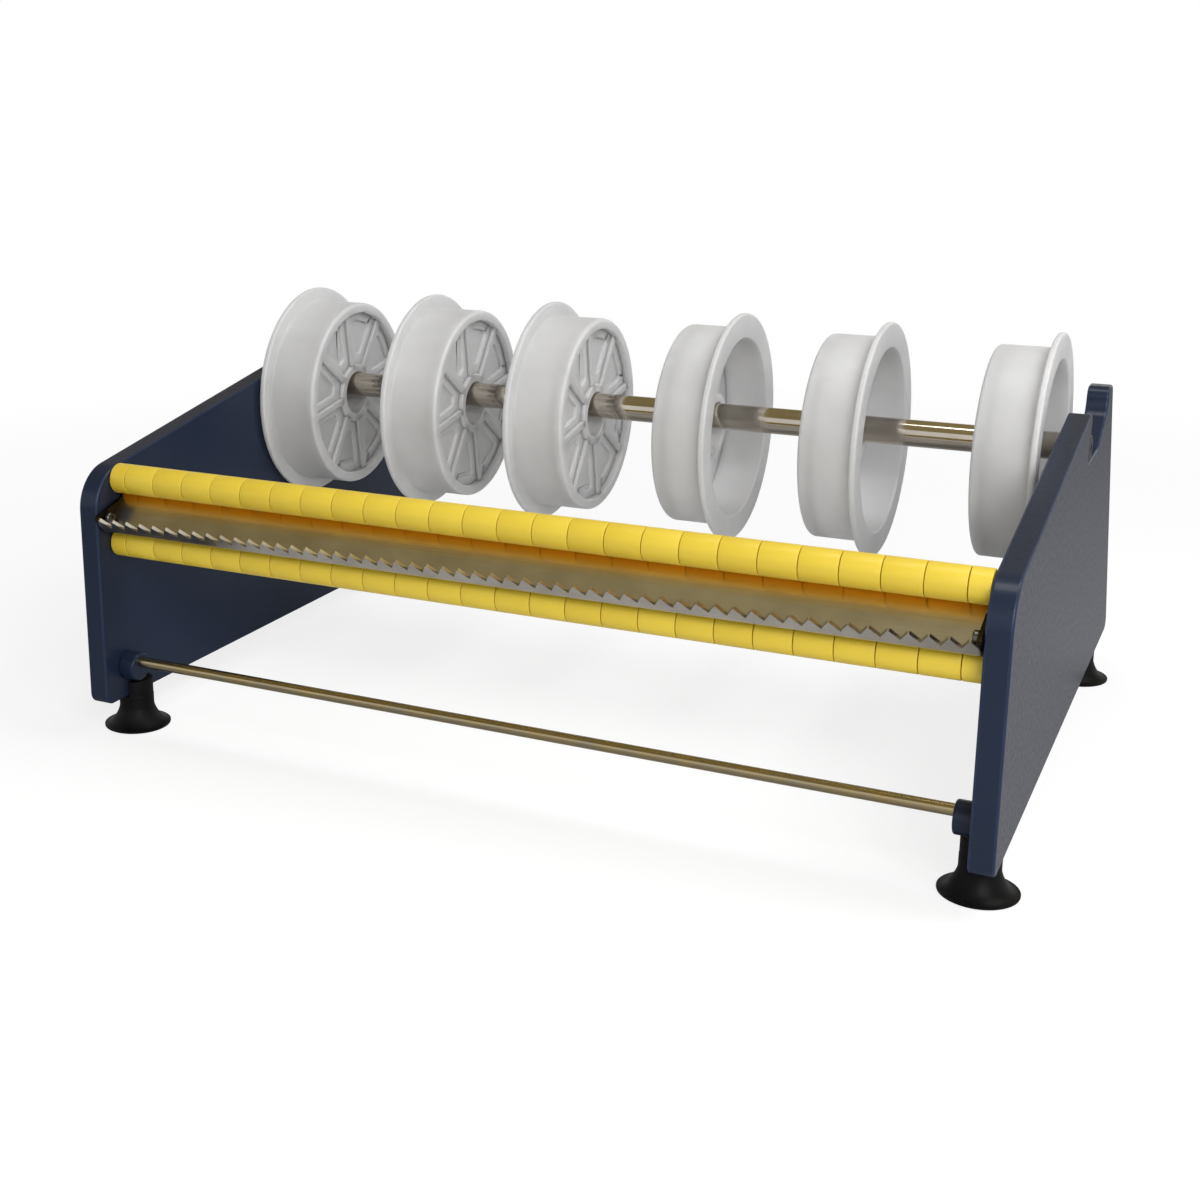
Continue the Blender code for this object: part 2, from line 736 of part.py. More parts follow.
def suction_cup(name, across, depth, material):
    """Rubber cup with a flared skirt and a neck that the plate stands on.

    A lug on the neck lies against the plate's inner face, and a peg stands in
    the plate's bottom edge.
    """
    side = 1 if across > 0 else -1
    neck_top = TABLE_CLEARANCE - GAP
    skirt = CUP_RADIUS - CUP_NECK_RADIUS
    inner_rim = CUP_RADIUS - CUP_RIM_WIDTH
    profile = (
        (neck_top, 0),
        (neck_top, CUP_NECK_RADIUS),
        (CUP_SHOULDER_HEIGHT, CUP_NECK_RADIUS),
        (CUP_SHOULDER_HEIGHT * CUP_UPPER_HEIGHT_SHARE, CUP_NECK_RADIUS + skirt * CUP_UPPER_FLARE_SHARE),
        (CUP_SHOULDER_HEIGHT * CUP_LOWER_HEIGHT_SHARE, CUP_NECK_RADIUS + skirt * CUP_LOWER_FLARE_SHARE),
        (CUP_RIM_HEIGHT, CUP_RADIUS),
        (0, CUP_RADIUS),
        (0, inner_rim),
        (CUP_HOLLOW_HEIGHT * CUP_HOLLOW_HEIGHT_SHARE, inner_rim * CUP_HOLLOW_RADIUS_SHARE),
        (CUP_HOLLOW_HEIGHT, 0),
    )
    shape = bmesh.new()
    turned(shape, profile, CUP_SIDES, closed=False)
    stand_up(shape)
    cup = make_object(f"suction_cup_{name}", shape, material, (across, depth, 0))

    face = side * (PLATE_INNER - GAP) - across
    radius = CUP_NECK_RADIUS - CUP_LUG_INSET
    half_turn = math.acos(-side * face / radius)
    steps = CUP_SIDES // 4
    outline = []
    for step in range(-steps, steps + 1):
        angle = half_turn * step / steps
        outline.append((radius * math.sin(angle), side * radius * math.cos(angle)))
    lug = bmesh.new()
    prism(lug, outline, neck_top - CUP_LUG_HEIGHT / 2, neck_top + CUP_LUG_HEIGHT)
    stand_up(lug)
    combine(cup, make_cutter(f"join_lug_{name}", lug, (across, depth, 0)), "UNION")

    peg = bmesh.new()
    solid_cylinder(peg, PEG_RADIUS, neck_top - PEG_RADIUS, neck_top + PEG_LENGTH, SCREW_SIDES)
    stand_up(peg)
    combine(cup, make_cutter(f"join_peg_{name}", peg, (side * PLATE_MIDDLE, depth, 0)), "UNION")
    return cup


def build_frame():
    """Everything that stands still."""
    navy = navy_coat()
    polished = polished_steel()
    chromed = chromed_steel()
    rubber = black_rubber()
    zinc = zinc_steel()
    for side_name, side in (("left", -1), ("right", 1)):
        side_plate(side_name, side, navy)
        rod_boss(side_name, side, navy)
        tear_bar_screw(side_name, side, zinc)
    tear_bar(polished)
    cross_rod("tie_rod", TIE_ROD_RADIUS, TIE_ROD_DEPTH, TIE_ROD_HEIGHT, chromed)
    for name, across, depth in cup_places():
        suction_cup(name, across, depth, rubber)


def build_rollers():
    """Both rollers: a rod, two collars and the loose sleeves on it."""
    yellow = yellow_plastic()
    steel = zinc_steel()
    rows = (
        ("upper", UPPER_ROLLER_DEPTH, UPPER_ROLLER_HEIGHT),
        ("lower", LOWER_ROLLER_DEPTH, LOWER_ROLLER_HEIGHT),
    )
    for name, depth, height in rows:
        cross_rod(f"{name}_roller_rod", ROD_RADIUS, depth, height, steel)
        end_collar(f"{name}_collar_left", -1, depth, height, yellow)
        end_collar(f"{name}_collar_right", 1, depth, height, yellow)
        roller_sleeves(name, depth, height, yellow)


def build_shaft():
    """The lift-out shaft with its plugs and core discs."""
    axis = shaft_axis()
    roll_shaft(axis, chromed_steel())
    plug = black_plastic()
    shaft_plug("left", -1, axis, plug)
    shaft_plug("right", 1, axis, plug)
    core_discs(axis, light_plastic())


clear_scene()
build_frame()
build_rollers()
build_shaft()
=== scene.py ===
"""Dressed model of a bench-top label dispenser.

Two navy side plates carry a lift-out shaft with six core discs, two rollers of
loose yellow rings, a toothed tear bar and a tie rod, and stand on four suction
cups. Units are metres, +Z is up, +X runs along the shaft and the front faces
-Y. Depths are counted from the front edges of the side plates.
"""

from __future__ import annotations

import json
import logging
import math
from dataclasses import dataclass
from enum import Enum
from typing import Any, Callable, Iterable, Sequence

import bmesh
import bpy
from mathutils import Matrix, Vector

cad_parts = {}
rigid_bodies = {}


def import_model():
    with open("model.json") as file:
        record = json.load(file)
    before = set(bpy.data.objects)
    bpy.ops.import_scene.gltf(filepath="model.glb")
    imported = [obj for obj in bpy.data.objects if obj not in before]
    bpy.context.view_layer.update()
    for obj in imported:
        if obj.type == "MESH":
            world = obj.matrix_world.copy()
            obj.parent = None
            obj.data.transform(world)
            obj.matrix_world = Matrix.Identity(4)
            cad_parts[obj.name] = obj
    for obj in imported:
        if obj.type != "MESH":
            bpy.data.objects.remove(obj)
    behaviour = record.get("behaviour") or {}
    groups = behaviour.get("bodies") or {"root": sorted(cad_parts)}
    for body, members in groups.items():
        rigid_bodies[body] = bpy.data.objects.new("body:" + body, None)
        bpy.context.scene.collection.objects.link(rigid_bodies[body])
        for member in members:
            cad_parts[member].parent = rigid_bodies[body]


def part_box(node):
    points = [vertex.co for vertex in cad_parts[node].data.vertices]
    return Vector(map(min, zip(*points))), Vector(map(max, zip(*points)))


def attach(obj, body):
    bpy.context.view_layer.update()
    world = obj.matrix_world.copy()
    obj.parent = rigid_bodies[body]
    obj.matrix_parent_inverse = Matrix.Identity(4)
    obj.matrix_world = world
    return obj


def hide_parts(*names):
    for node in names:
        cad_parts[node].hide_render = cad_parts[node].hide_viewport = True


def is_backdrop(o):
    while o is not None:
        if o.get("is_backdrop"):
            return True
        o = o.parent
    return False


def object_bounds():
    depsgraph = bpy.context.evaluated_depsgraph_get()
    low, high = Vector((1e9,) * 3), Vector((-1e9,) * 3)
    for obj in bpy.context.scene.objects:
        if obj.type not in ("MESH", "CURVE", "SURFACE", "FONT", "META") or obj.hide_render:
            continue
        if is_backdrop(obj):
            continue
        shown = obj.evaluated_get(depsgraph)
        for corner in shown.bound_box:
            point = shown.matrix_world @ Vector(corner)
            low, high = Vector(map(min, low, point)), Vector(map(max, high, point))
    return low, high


LOG = logging.getLogger("label_dispenser")

MM = 0.001
SUPPORT = 0.04 * MM
WELD = 0.0005 * MM
TREE_WELD = 0.002 * MM
NEARLY_ZERO = 1e-9
MITRE_LIMIT = 0.5
RING_SIDES = 48
RING_EDGE_STEPS = 3
RUNNING_GAP = 0.3 * MM
FRAME_BODY = "frame"
SHAFT_BODY = "shaft"
EDGE = "edge"
UPPER_PART = "upper_part"

Point = tuple[float, float]
Triple = tuple[float, float, float]
Sockets = tuple[tuple[str, Any], ...]
Tree = bpy.types.NodeTree
Socket = bpy.types.NodeSocket
Item = bpy.types.Object


class Side(Enum):
    """The two ends of the dispenser, with the sign of X at each."""

    LEFT = -1
    RIGHT = 1

    @property
    def word(self) -> str:
        """The side's name as the CAD nodes spell it."""
        return self.name.lower()


class RollerRow(Enum):
    """The two rollers, above and below the tear bar."""

    UPPER = "upper"
    LOWER = "lower"


def srgb(code: str) -> tuple[float, float, float, float]:
    """Turn an sRGB hex colour into Blender's linear one.

    Args:
        code: Six hex digits, with or without a leading hash.

    Returns:
        Linear red, green and blue, and an alpha of one.
    """
    digits = code.lstrip("#")
    parts = [int(digits[place:place + 2], 16) / 255 for place in (0, 2, 4)]
    linear = [part / 12.92 if part <= 0.04045 else ((part + 0.055) / 1.055) ** 2.4
              for part in parts]
    return (linear[0], linear[1], linear[2], 1.0)


def per_metre(size_mm: float) -> float:
    """Scale of a procedural pattern whose features are size_mm millimetres wide."""
    return 1000.0 / size_mm


def add_node(tree: Tree, kind: str, inputs: dict[Any, Any] | None = None,
             **settings: Any) -> bpy.types.Node:
    """Add a node, set its properties, and fill or link its inputs.

    Args:
        tree: The node tree that gets the node.
        kind: Blender's name for the kind of node.
        inputs: Input name or number, with a value or with the socket to link from.
        **settings: Properties of the node itself.

    Returns:
        The new node.
    """
    node = tree.nodes.new(kind)
    for name, value in settings.items():
        setattr(node, name, value)
    for name, value in (inputs or {}).items():
        socket = node.inputs[name]
        if isinstance(value, Socket):
            tree.links.new(value, socket)
        else:
            socket.default_value = value
    return node


def put(name: str, data: Any) -> Item:
    """Add an object to the scene.

    Args:
        name: Name of the object.
        data: Its mesh, lamp or camera.

    Returns:
        The new object.
    """
    item = bpy.data.objects.new(name, data)
    bpy.context.scene.collection.objects.link(item)
    return item


def maths(tree: Tree, operation: str, first: Any, second: Any = 0.0) -> Socket:
    """The result of one sum on two numbers or sockets."""
    return add_node(tree, "ShaderNodeMath", {0: first, 1: second}, operation=operation).outputs[0]


def own_place(tree: Tree) -> Socket:
    """The place in an object's own space."""
    return add_node(tree, "ShaderNodeTexCoord").outputs["Object"]


def own_x(tree: Tree) -> Socket:
    """X of the place in an object's own space."""
    return add_node(tree, "ShaderNodeSeparateXYZ", {0: own_place(tree)}).outputs["X"]


# ---------------------------------------------------------------- finishes


EVEN = (1.0, 1.0, 1.0)
DRAWN_OUT = 0.02
LINES_ALONG = (DRAWN_OUT, 1.0, 1.0)
LINES_ROUND = (1.0, DRAWN_OUT, DRAWN_OUT)


@dataclass(frozen=True)
class Pattern:
    """Noise in a piece's own space.

    Attributes:
        size_mm: Width of the noise's features in millimetres.
        detail: Number of finer layers on top.
        shares: Share of the scale that each axis gets, so that a small share draws
            the features out along that axis.
    """

    size_mm: float
    detail: float
    shares: Triple = EVEN

    def noise(self, tree: Tree) -> Socket:
        """Add the pattern to a material.

        Args:
            tree: The material's node tree.

        Returns:
            The noise as a value between 0 and 1.
        """
        mapped = add_node(tree, "ShaderNodeMapping", {
            "Vector": own_place(tree), "Scale": self.shares})
        made = add_node(tree, "ShaderNodeTexNoise", {
            "Vector": mapped.outputs["Vector"], "Scale": per_metre(self.size_mm),
            "Detail": self.detail})
        return made.outputs["Fac"]


def spread(tree: Tree, factor: Socket, low: float, high: float,
           span: Point = (0.3, 0.7)) -> Socket:
    """Spread a factor between two values.

    Args:
        tree: The node tree.
        factor: The value that is spread.
        low: Result at the start of the span and below.
        high: Result at its end and above.
        span: Factors that give low and high.

    Returns:
        The spread value.
    """
    made = add_node(tree, "ShaderNodeMapRange", {
        "Value": factor, "From Min": span[0], "From Max": span[1], "To Min": low, "To Max": high})
    return made.outputs["Result"]


def blend(tree: Tree, factor: Socket, first: Any, second: Any) -> Socket:
    """Mix two colours, each a value or a socket, by the share of the second."""
    made = add_node(tree, "ShaderNodeMix", {0: factor, 6: first, 7: second}, data_type="RGBA")
    return made.outputs[2]


def painted(tree: Tree, name: str) -> Socket:
    """A value that the mesh itself carries, by its attribute's name."""
    return add_node(tree, "ShaderNodeAttribute", attribute_name=name).outputs["Fac"]


class GlossFrom(Enum):
    """The pattern that a finish's roughness follows."""

    GRAIN = "grain"
    PATCHES = "patches"
    BOTH = "both"


@dataclass(frozen=True)
class Finish:
    """A surface finish: patches in its colour, and a fine grain in its gloss and relief.

    Attributes:
        name: Name of its material.
        slot: The record's slot for it. It is not used.
        colour: Its main colour.
        patch_colour: Colour of its patches.
        roughness: Its middle roughness.
        gloss_range: How far the roughness falls and rises.
        patches: The patches' pattern.
        grain: The grain's pattern. Without one the finish has no relief.
        relief: Strength of the grain's bump, and its depth in millimetres.
        gloss_from: The pattern that the roughness follows.
        gloss_span: Values of that pattern at the two ends of gloss_range.
        patch_span: Values of the patches' noise that give none and all of patch_colour.
        sockets: Other inputs of the shader with their values.
    """

    name: str
    slot: str
    colour: str
    patch_colour: str
    roughness: float
    gloss_range: Point
    patches: Pattern | None = None
    grain: Pattern | None = None
    relief: Point = (0.0, 0.0)
    gloss_from: GlossFrom = GlossFrom.GRAIN
    gloss_span: Point = (0.3, 0.7)
    patch_span: Point = (0.3, 0.7)
    sockets: Sockets = ()

    def material(self) -> bpy.types.Material:
        """Make the material the first time, and hand out the same one after that.

        Returns:
            The finish as a Blender material.
        """
        known = bpy.data.materials.get(self.name)
        if known is not None:
            return known
        made = bpy.data.materials.new(self.name)
        made.use_nodes = True
        self.dress(made.node_tree, made.node_tree.nodes["Principled BSDF"])
        return made

    def dress(self, tree: Tree, shader: bpy.types.Node) -> None:
        """Set the shader's sockets and add the nodes that vary them.

        Args:
            tree: The material's node tree.
            shader: Its Principled BSDF.
        """
        patches = self.patch_share(tree)
        grain = self.grain.noise(tree) if self.grain else patches
        followed = patches if self.gloss_from is GlossFrom.PATCHES else grain
        if self.gloss_from is GlossFrom.BOTH:
            followed = maths(tree, "MULTIPLY", grain, patches)
        low, high = (self.roughness + step for step in self.gloss_range)
        gloss = spread(tree, followed, low, high, self.gloss_span)
        tree.links.new(self.base_colour(tree, patches), shader.inputs["Base Color"])
        tree.links.new(self.worn_gloss(tree, gloss), shader.inputs["Roughness"])
        for name, value in self.sockets:
            shader.inputs[name].default_value = value
        if self.grain:
            strength, depth_mm = self.relief
            bump = add_node(tree, "ShaderNodeBump", {
                "Height": grain, "Strength": strength, "Distance": depth_mm * MM})
            tree.links.new(bump.outputs["Normal"], shader.inputs["Normal"])

    def patch_share(self, tree: Tree) -> Socket:
        """Share of the patches' colour at a place."""
        return spread(tree, self.patches.noise(tree), 0.0, 1.0, self.patch_span)

    def base_colour(self, tree: Tree, patches: Socket) -> Socket:
        """Colour of the finish from the share of its patches."""
        return blend(tree, patches, srgb(self.colour), srgb(self.patch_colour))

    def worn_gloss(self, tree: Tree, gloss: Socket) -> Socket:
        """Roughness after wear, which is the plain one unless a finish says otherwise."""
        return gloss


METAL = (("Metallic", 1.0),)


@dataclass(frozen=True)
class NavyPowderCoat(Finish):
    """Navy polyester powder coat, baked on steel plate.

    It gives a satin skin with a fine orange peel, a glossier top that flowed out in
    the oven, and slightly paler rounded edges: partly uneven rubbing, and partly a
    painted highlight where light catches the edges.
    """

    name: str = "navy_powder_coat"
    slot: str = "navy_coat"
    colour: str = "#1f293f"
    patch_colour: str = "#1a2335"
    # Paler colour on the rounded edges: partly rubbed wear, partly a painted highlight.
    edge_colour: str = "#28344f"
    roughness: float = 0.36
    gloss_range: Point = (-0.05, 0.06)
    patches: Pattern = Pattern(55.0, 3.0)
    patch_span: Point = (0.0, 1.0)
    # Real orange peel is 0.5 to 1 mm wide. It is drawn at 1.8 mm so that it shows.
    grain: Pattern = Pattern(1.8, 2.0)
    relief: Point = (0.22, 0.12)
    rubbing: Pattern = Pattern(7.0, 4.0)
    least_rubbed: float = 0.35
    sockets: Sockets = (
        ("IOR", 1.5), ("Specular IOR Level", 0.12), ("Coat Weight", 0.22), ("Coat Roughness", 0.2))

    def base_colour(self, tree: Tree, patches: Socket) -> Socket:
        """Colour clouds, with the rounded edges paler: partly uneven rubbing, partly a painted
        highlight.

        Args:
            tree: The material's node tree.
            patches: Share of the patches' colour.

        Returns:
            The colour.
        """
        rubbed = spread(tree, self.rubbing.noise(tree), self.least_rubbed, 1.0)
        edge = maths(tree, "MULTIPLY", painted(tree, EDGE), rubbed)
        return blend(tree, edge, super().base_colour(tree, patches), srgb(self.edge_colour))


@dataclass(frozen=True)
class LightMouldedAbs(Finish):
    """Light grey ABS, injection moulded with a fine eroded texture.

    It gives a matt, faintly speckled surface that is even in colour, with soft
    flow clouds from the mould. Its walls let light 14 mm through, so that the
    inside of a drum isn't dark.
    """

    name: str = "light_moulded_abs"
    slot: str = "light_plastic"
    colour: str = "#d2d2d2"
    patch_colour: str = "#c8c8c9"
    roughness: float = 0.46
    gloss_range: Point = (-0.04, 0.06)
    patches: Pattern = Pattern(24.0, 3.0)
    # Real spark erosion is 0.1 mm wide. It is drawn at 1.1 mm so that it shows.
    grain: Pattern = Pattern(1.1, 1.0)
    relief: Point = (0.12, 0.06)
    sockets: Sockets = (
        ("IOR", 1.53), ("Subsurface Weight", 0.6), ("Subsurface Radius", (1.0, 1.0, 1.0)),
        ("Subsurface Scale", 14.0 * MM))


@dataclass(frozen=True)
class YellowAcetal(Finish):
    """Yellow acetal rings, moulded and turned to width.

    It gives a smooth, waxy yellow with a soft highlight, faint turning lines round
    each ring, and a small change of shade from ring to ring.
    """

    name: str = "yellow_acetal"
    slot: str = "yellow_plastic"
    colour: str = "#e6c93f"
    patch_colour: str = "#dfc138"
    roughness: float = 0.38
    gloss_range: Point = (-0.04, 0.05)
    ring_pitch_mm: float = 12.55
    # Real turning lines are 0.1 mm apart. They are drawn at 0.9 mm so that they show.
    grain: Pattern = Pattern(0.9, 1.0, LINES_ROUND)
    relief: Point = (0.10, 0.05)
    sockets: Sockets = (("IOR", 1.48),)

    def patch_share(self, tree: Tree) -> Socket:
        """A shade for each ring.

        Args:
            tree: The material's node tree.

        Returns:
            One share of the second colour for the whole of a ring.
        """
        ring = maths(tree, "FLOOR", maths(tree, "DIVIDE", own_x(tree), self.ring_pitch_mm * MM))
        dice = add_node(tree, "ShaderNodeTexWhiteNoise", {"W": ring}, noise_dimensions="1D")
        return dice.outputs["Value"]


@dataclass(frozen=True)
class BlackNitrile(Finish):
    """Black nitrile rubber, moulded.

    It gives a deep black with a soft sheen and a faint grey bloom.
    """

    name: str = "black_nitrile_rubber"
    slot: str = "black_rubber"
    colour: str = "#08080a"
    patch_colour: str = "#101013"
    roughness: float = 0.48
    gloss_range: Point = (-0.06, 0.1)
    gloss_from: GlossFrom = GlossFrom.PATCHES
    gloss_span: Point = (0.0, 1.0)
    patches: Pattern = Pattern(6.0, 4.0)
    grain: Pattern = Pattern(1.0, 1.0)
    relief: Point = (0.1, 0.05)
    sockets: Sockets = (("IOR", 1.52), ("Specular IOR Level", 0.1))


@dataclass(frozen=True)
class BlackPolyethylene(Finish):
    """Black polyethylene, moulded, as tube plugs are made of.

    It gives a dull black with a slightly waxy highlight and small scuffs.
    """

    name: str = "black_polyethylene"
    slot: str = "black_plastic"
    colour: str = "#141415"
    patch_colour: str = "#1e1e20"
    roughness: float = 0.42
    gloss_range: Point = (-0.06, 0.08)
    gloss_span: Point = (0.0, 1.0)
    patches: Pattern = Pattern(1.5, 3.0)


@dataclass(frozen=True)
class PolishedStainless(Finish):
    """Stainless sheet, polished along its length and folded.

    It mirrors what stands round it, drawn out a little across the polishing lines.
    Dark brown painted shade fills the fold and covers the ears, and its upper part is
    painted yellow as a painted reflection of the rings above it.
    """

    name: str = "polished_stainless"
    slot: str = "polished_steel"
    colour: str = "#d2cfcb"
    patch_colour: str = "#bdb8b1"
    # Dark brown painted shade in the fold of the sheet and on its ears.
    fold_shade_colour: str = "#2c2317"
    # Straw yellow painted reflection of the yellow rings, laid on the web's upper part.
    roller_reflection_colour: str = "#e3b75f"
    fold_shade_roughness: float = 0.45
    roughness: float = 0.2
    gloss_range: Point = (-0.04, 0.07)
    patches: Pattern = Pattern(14.0, 3.0)
    # Real polishing lines are 0.05 mm apart. They are drawn at 0.5 mm so that they show.
    grain: Pattern = Pattern(0.5, 2.0, LINES_ALONG)
    relief: Point = (0.06, 0.03)
    roller_reflection_span: Point = (0.45, 0.9)
    fold_shade_span: Point = (0.5, 0.85)
    sockets: Sockets = METAL

    def fold_shade_share(self, tree: Tree) -> Socket:
        """Share of the painted fold shade at a place."""
        return spread(tree, painted(tree, EDGE), 0.0, 1.0, self.fold_shade_span)

    def base_colour(self, tree: Tree, patches: Socket) -> Socket:
        """Duller patches, with the painted reflection of the rings and then the painted fold shade
        over them.

        Args:
            tree: The material's node tree.
            patches: Share of the patches' colour.

        Returns:
            The colour.
        """
        roller_reflection = spread(tree, painted(tree, UPPER_PART), 0.0, 1.0, self.roller_reflection_span)
        with_roller_reflection = blend(tree, roller_reflection, super().base_colour(tree, patches), srgb(self.roller_reflection_colour))
        return blend(tree, self.fold_shade_share(tree), with_roller_reflection, srgb(self.fold_shade_colour))

    def worn_gloss(self, tree: Tree, gloss: Socket) -> Socket:
        """The polish, and a duller roughness where the fold shade is painted."""
        made = add_node(tree, "ShaderNodeMix", {
            0: self.fold_shade_share(tree), 2: gloss, 3: self.fold_shade_roughness}, data_type="FLOAT")
        return made.outputs[0]


@dataclass(frozen=True)
class ChromedTube(Finish):
    """Steel tube, ground and bright chrome plated.

    It is a clear mirror with faint grinding marks round it and a few dull smears
    from handling.
    """

    name: str = "bright_chromed_steel"
    slot: str = "chromed_steel"
    colour: str = "#c2baae"
    patch_colour: str = "#b0a79b"
    roughness: float = 0.09
    gloss_range: Point = (-0.03, 0.08)
    gloss_from: GlossFrom = GlossFrom.BOTH
    gloss_span: Point = (0.0, 0.6)
    patches: Pattern = Pattern(18.0, 4.0)
    # Real grinding marks are under 0.05 mm wide. They are drawn at 0.7 mm so that they show.
    grain: Pattern = Pattern(0.7, 1.0, LINES_ROUND)
    relief: Point = (0.03, 0.02)
    sockets: Sockets = METAL


@dataclass(frozen=True)
class YellowPassivatedSteel(Finish):
    """Drawn steel rod with yellow-passivated zinc.

    It gives a brownish, slightly brassy metal that is duller than chrome, with
    warm and grey patches.
    """

    name: str = "yellow_passivated_steel"
    slot: str = "chromed_steel"
    colour: str = "#a8956a"
    patch_colour: str = "#9b927c"
    roughness: float = 0.2
    gloss_range: Point = (-0.05, 0.08)
    patches: Pattern = Pattern(9.0, 4.0)
    # Real drawing lines are 0.05 mm apart. They are drawn at 0.5 mm so that they show.
    grain: Pattern = Pattern(0.5, 1.0, LINES_ALONG)
    relief: Point = (0.05, 0.03)
    sockets: Sockets = METAL


@dataclass(frozen=True)
class ZincPlatedSteel(Finish):
    """Drawn steel with clear passivated zinc.

    It gives a soft grey metal with a faint warm and cool mottle.
    """

    name: str = "zinc_plated_steel"
    slot: str = "zinc_steel"
    colour: str = "#5f6163"
    patch_colour: str = "#5d5950"
    roughness: float = 0.3
    gloss_range: Point = (-0.05, 0.1)
    gloss_span: Point = (0.0, 1.0)
    patches: Pattern = Pattern(5.0, 4.0)
    sockets: Sockets = METAL


# ---------------------------------------------------------------- mesh tools


@dataclass(frozen=True)
class Corner:
    """A corner of an outline: two coordinates and the radius that rounds it."""

    first: float
    second: float
    radius: float = 0.0


def rounded(corners: Sequence[Corner], closed: bool = True,
            step: float = math.radians(10)) -> list[Point]:
    """Round the corners of an outline.

    A point stands just outside each arc, so that smooth shading stays on the arc
    and the flats beside it stay flat.

    Args:
        corners: The corners in order.
        closed: Whether the last corner joins the first.
        step: Largest turn between two points of an arc, in radians.

    Returns:
        The points of the rounded outline.
    """
    points: list[Point] = []
    last = len(corners) - 1
    for index, corner in enumerate(corners):
        here = Vector((corner.first, corner.second))
        if corner.radius == 0 or (not closed and index in (0, last)):
            points.append((here.x, here.y))
            continue
        previous = corners[index - 1]
        following = corners[(index + 1) % len(corners)]
        before = (Vector((previous.first, previous.second)) - here).normalized()
        after = (Vector((following.first, following.second)) - here).normalized()
        half = before.angle(after) / 2
        reach = corner.radius / math.tan(half)
        centre = here + (before + after).normalized() * (corner.radius / math.sin(half))
        start = here + before * reach - centre
        sign = 1 if before.x * after.y - before.y * after.x < 0 else -1
        turn = math.pi - 2 * half
        steps = max(2, math.ceil(turn / step))
        arc = [here + before * (reach + SUPPORT)]
        for place in range(steps + 1):
            arc.append(centre + Matrix.Rotation(sign * turn * place / steps, 2) @ start)
        arc.append(here + after * (reach + SUPPORT))
        points.extend((point.x, point.y) for point in arc)
    return points


def quarter_round(radius: float, steps: int) -> list[Point]:
    """Inset and depth at the points of a rounded edge, from the face down to the wall."""
    turns = [math.pi / 2 * step / steps for step in range(steps + 1)]
    return [(radius * (1 - math.sin(turn)), radius * (1 - math.cos(turn))) for turn in turns]


def outward(points: Sequence[Point]) -> list[Vector]:
    """Way out of a closed outline at each of its points, long enough to keep an even offset.

    Args:
        points: The outline.

    Returns:
        One vector for each point.
    """
    area = sum(first[0] * second[1] - second[0] * first[1]
               for first, second in zip(points, [*points[1:], points[0]]))
    sign = 1 if area > 0 else -1
    ways = []
    for index, point in enumerate(points):
        here = Vector(point)
        before = (here - Vector(points[index - 1])).normalized()
        after = (Vector(points[(index + 1) % len(points)]) - here).normalized()
        mean = Vector((before.y + after.y, -(before.x + after.x))).normalized() * sign
        first = Vector((before.y, -before.x)) * sign
        ways.append(mean / max(MITRE_LIMIT, mean.dot(first)))
    return ways


def offset(points: Sequence[Point], distance: float) -> list[Point]:
    """The outline moved outwards by a distance, or inwards by a negative one."""
    return [(point[0] + way.x * distance, point[1] + way.y * distance)
            for point, way in zip(points, outward(points))]


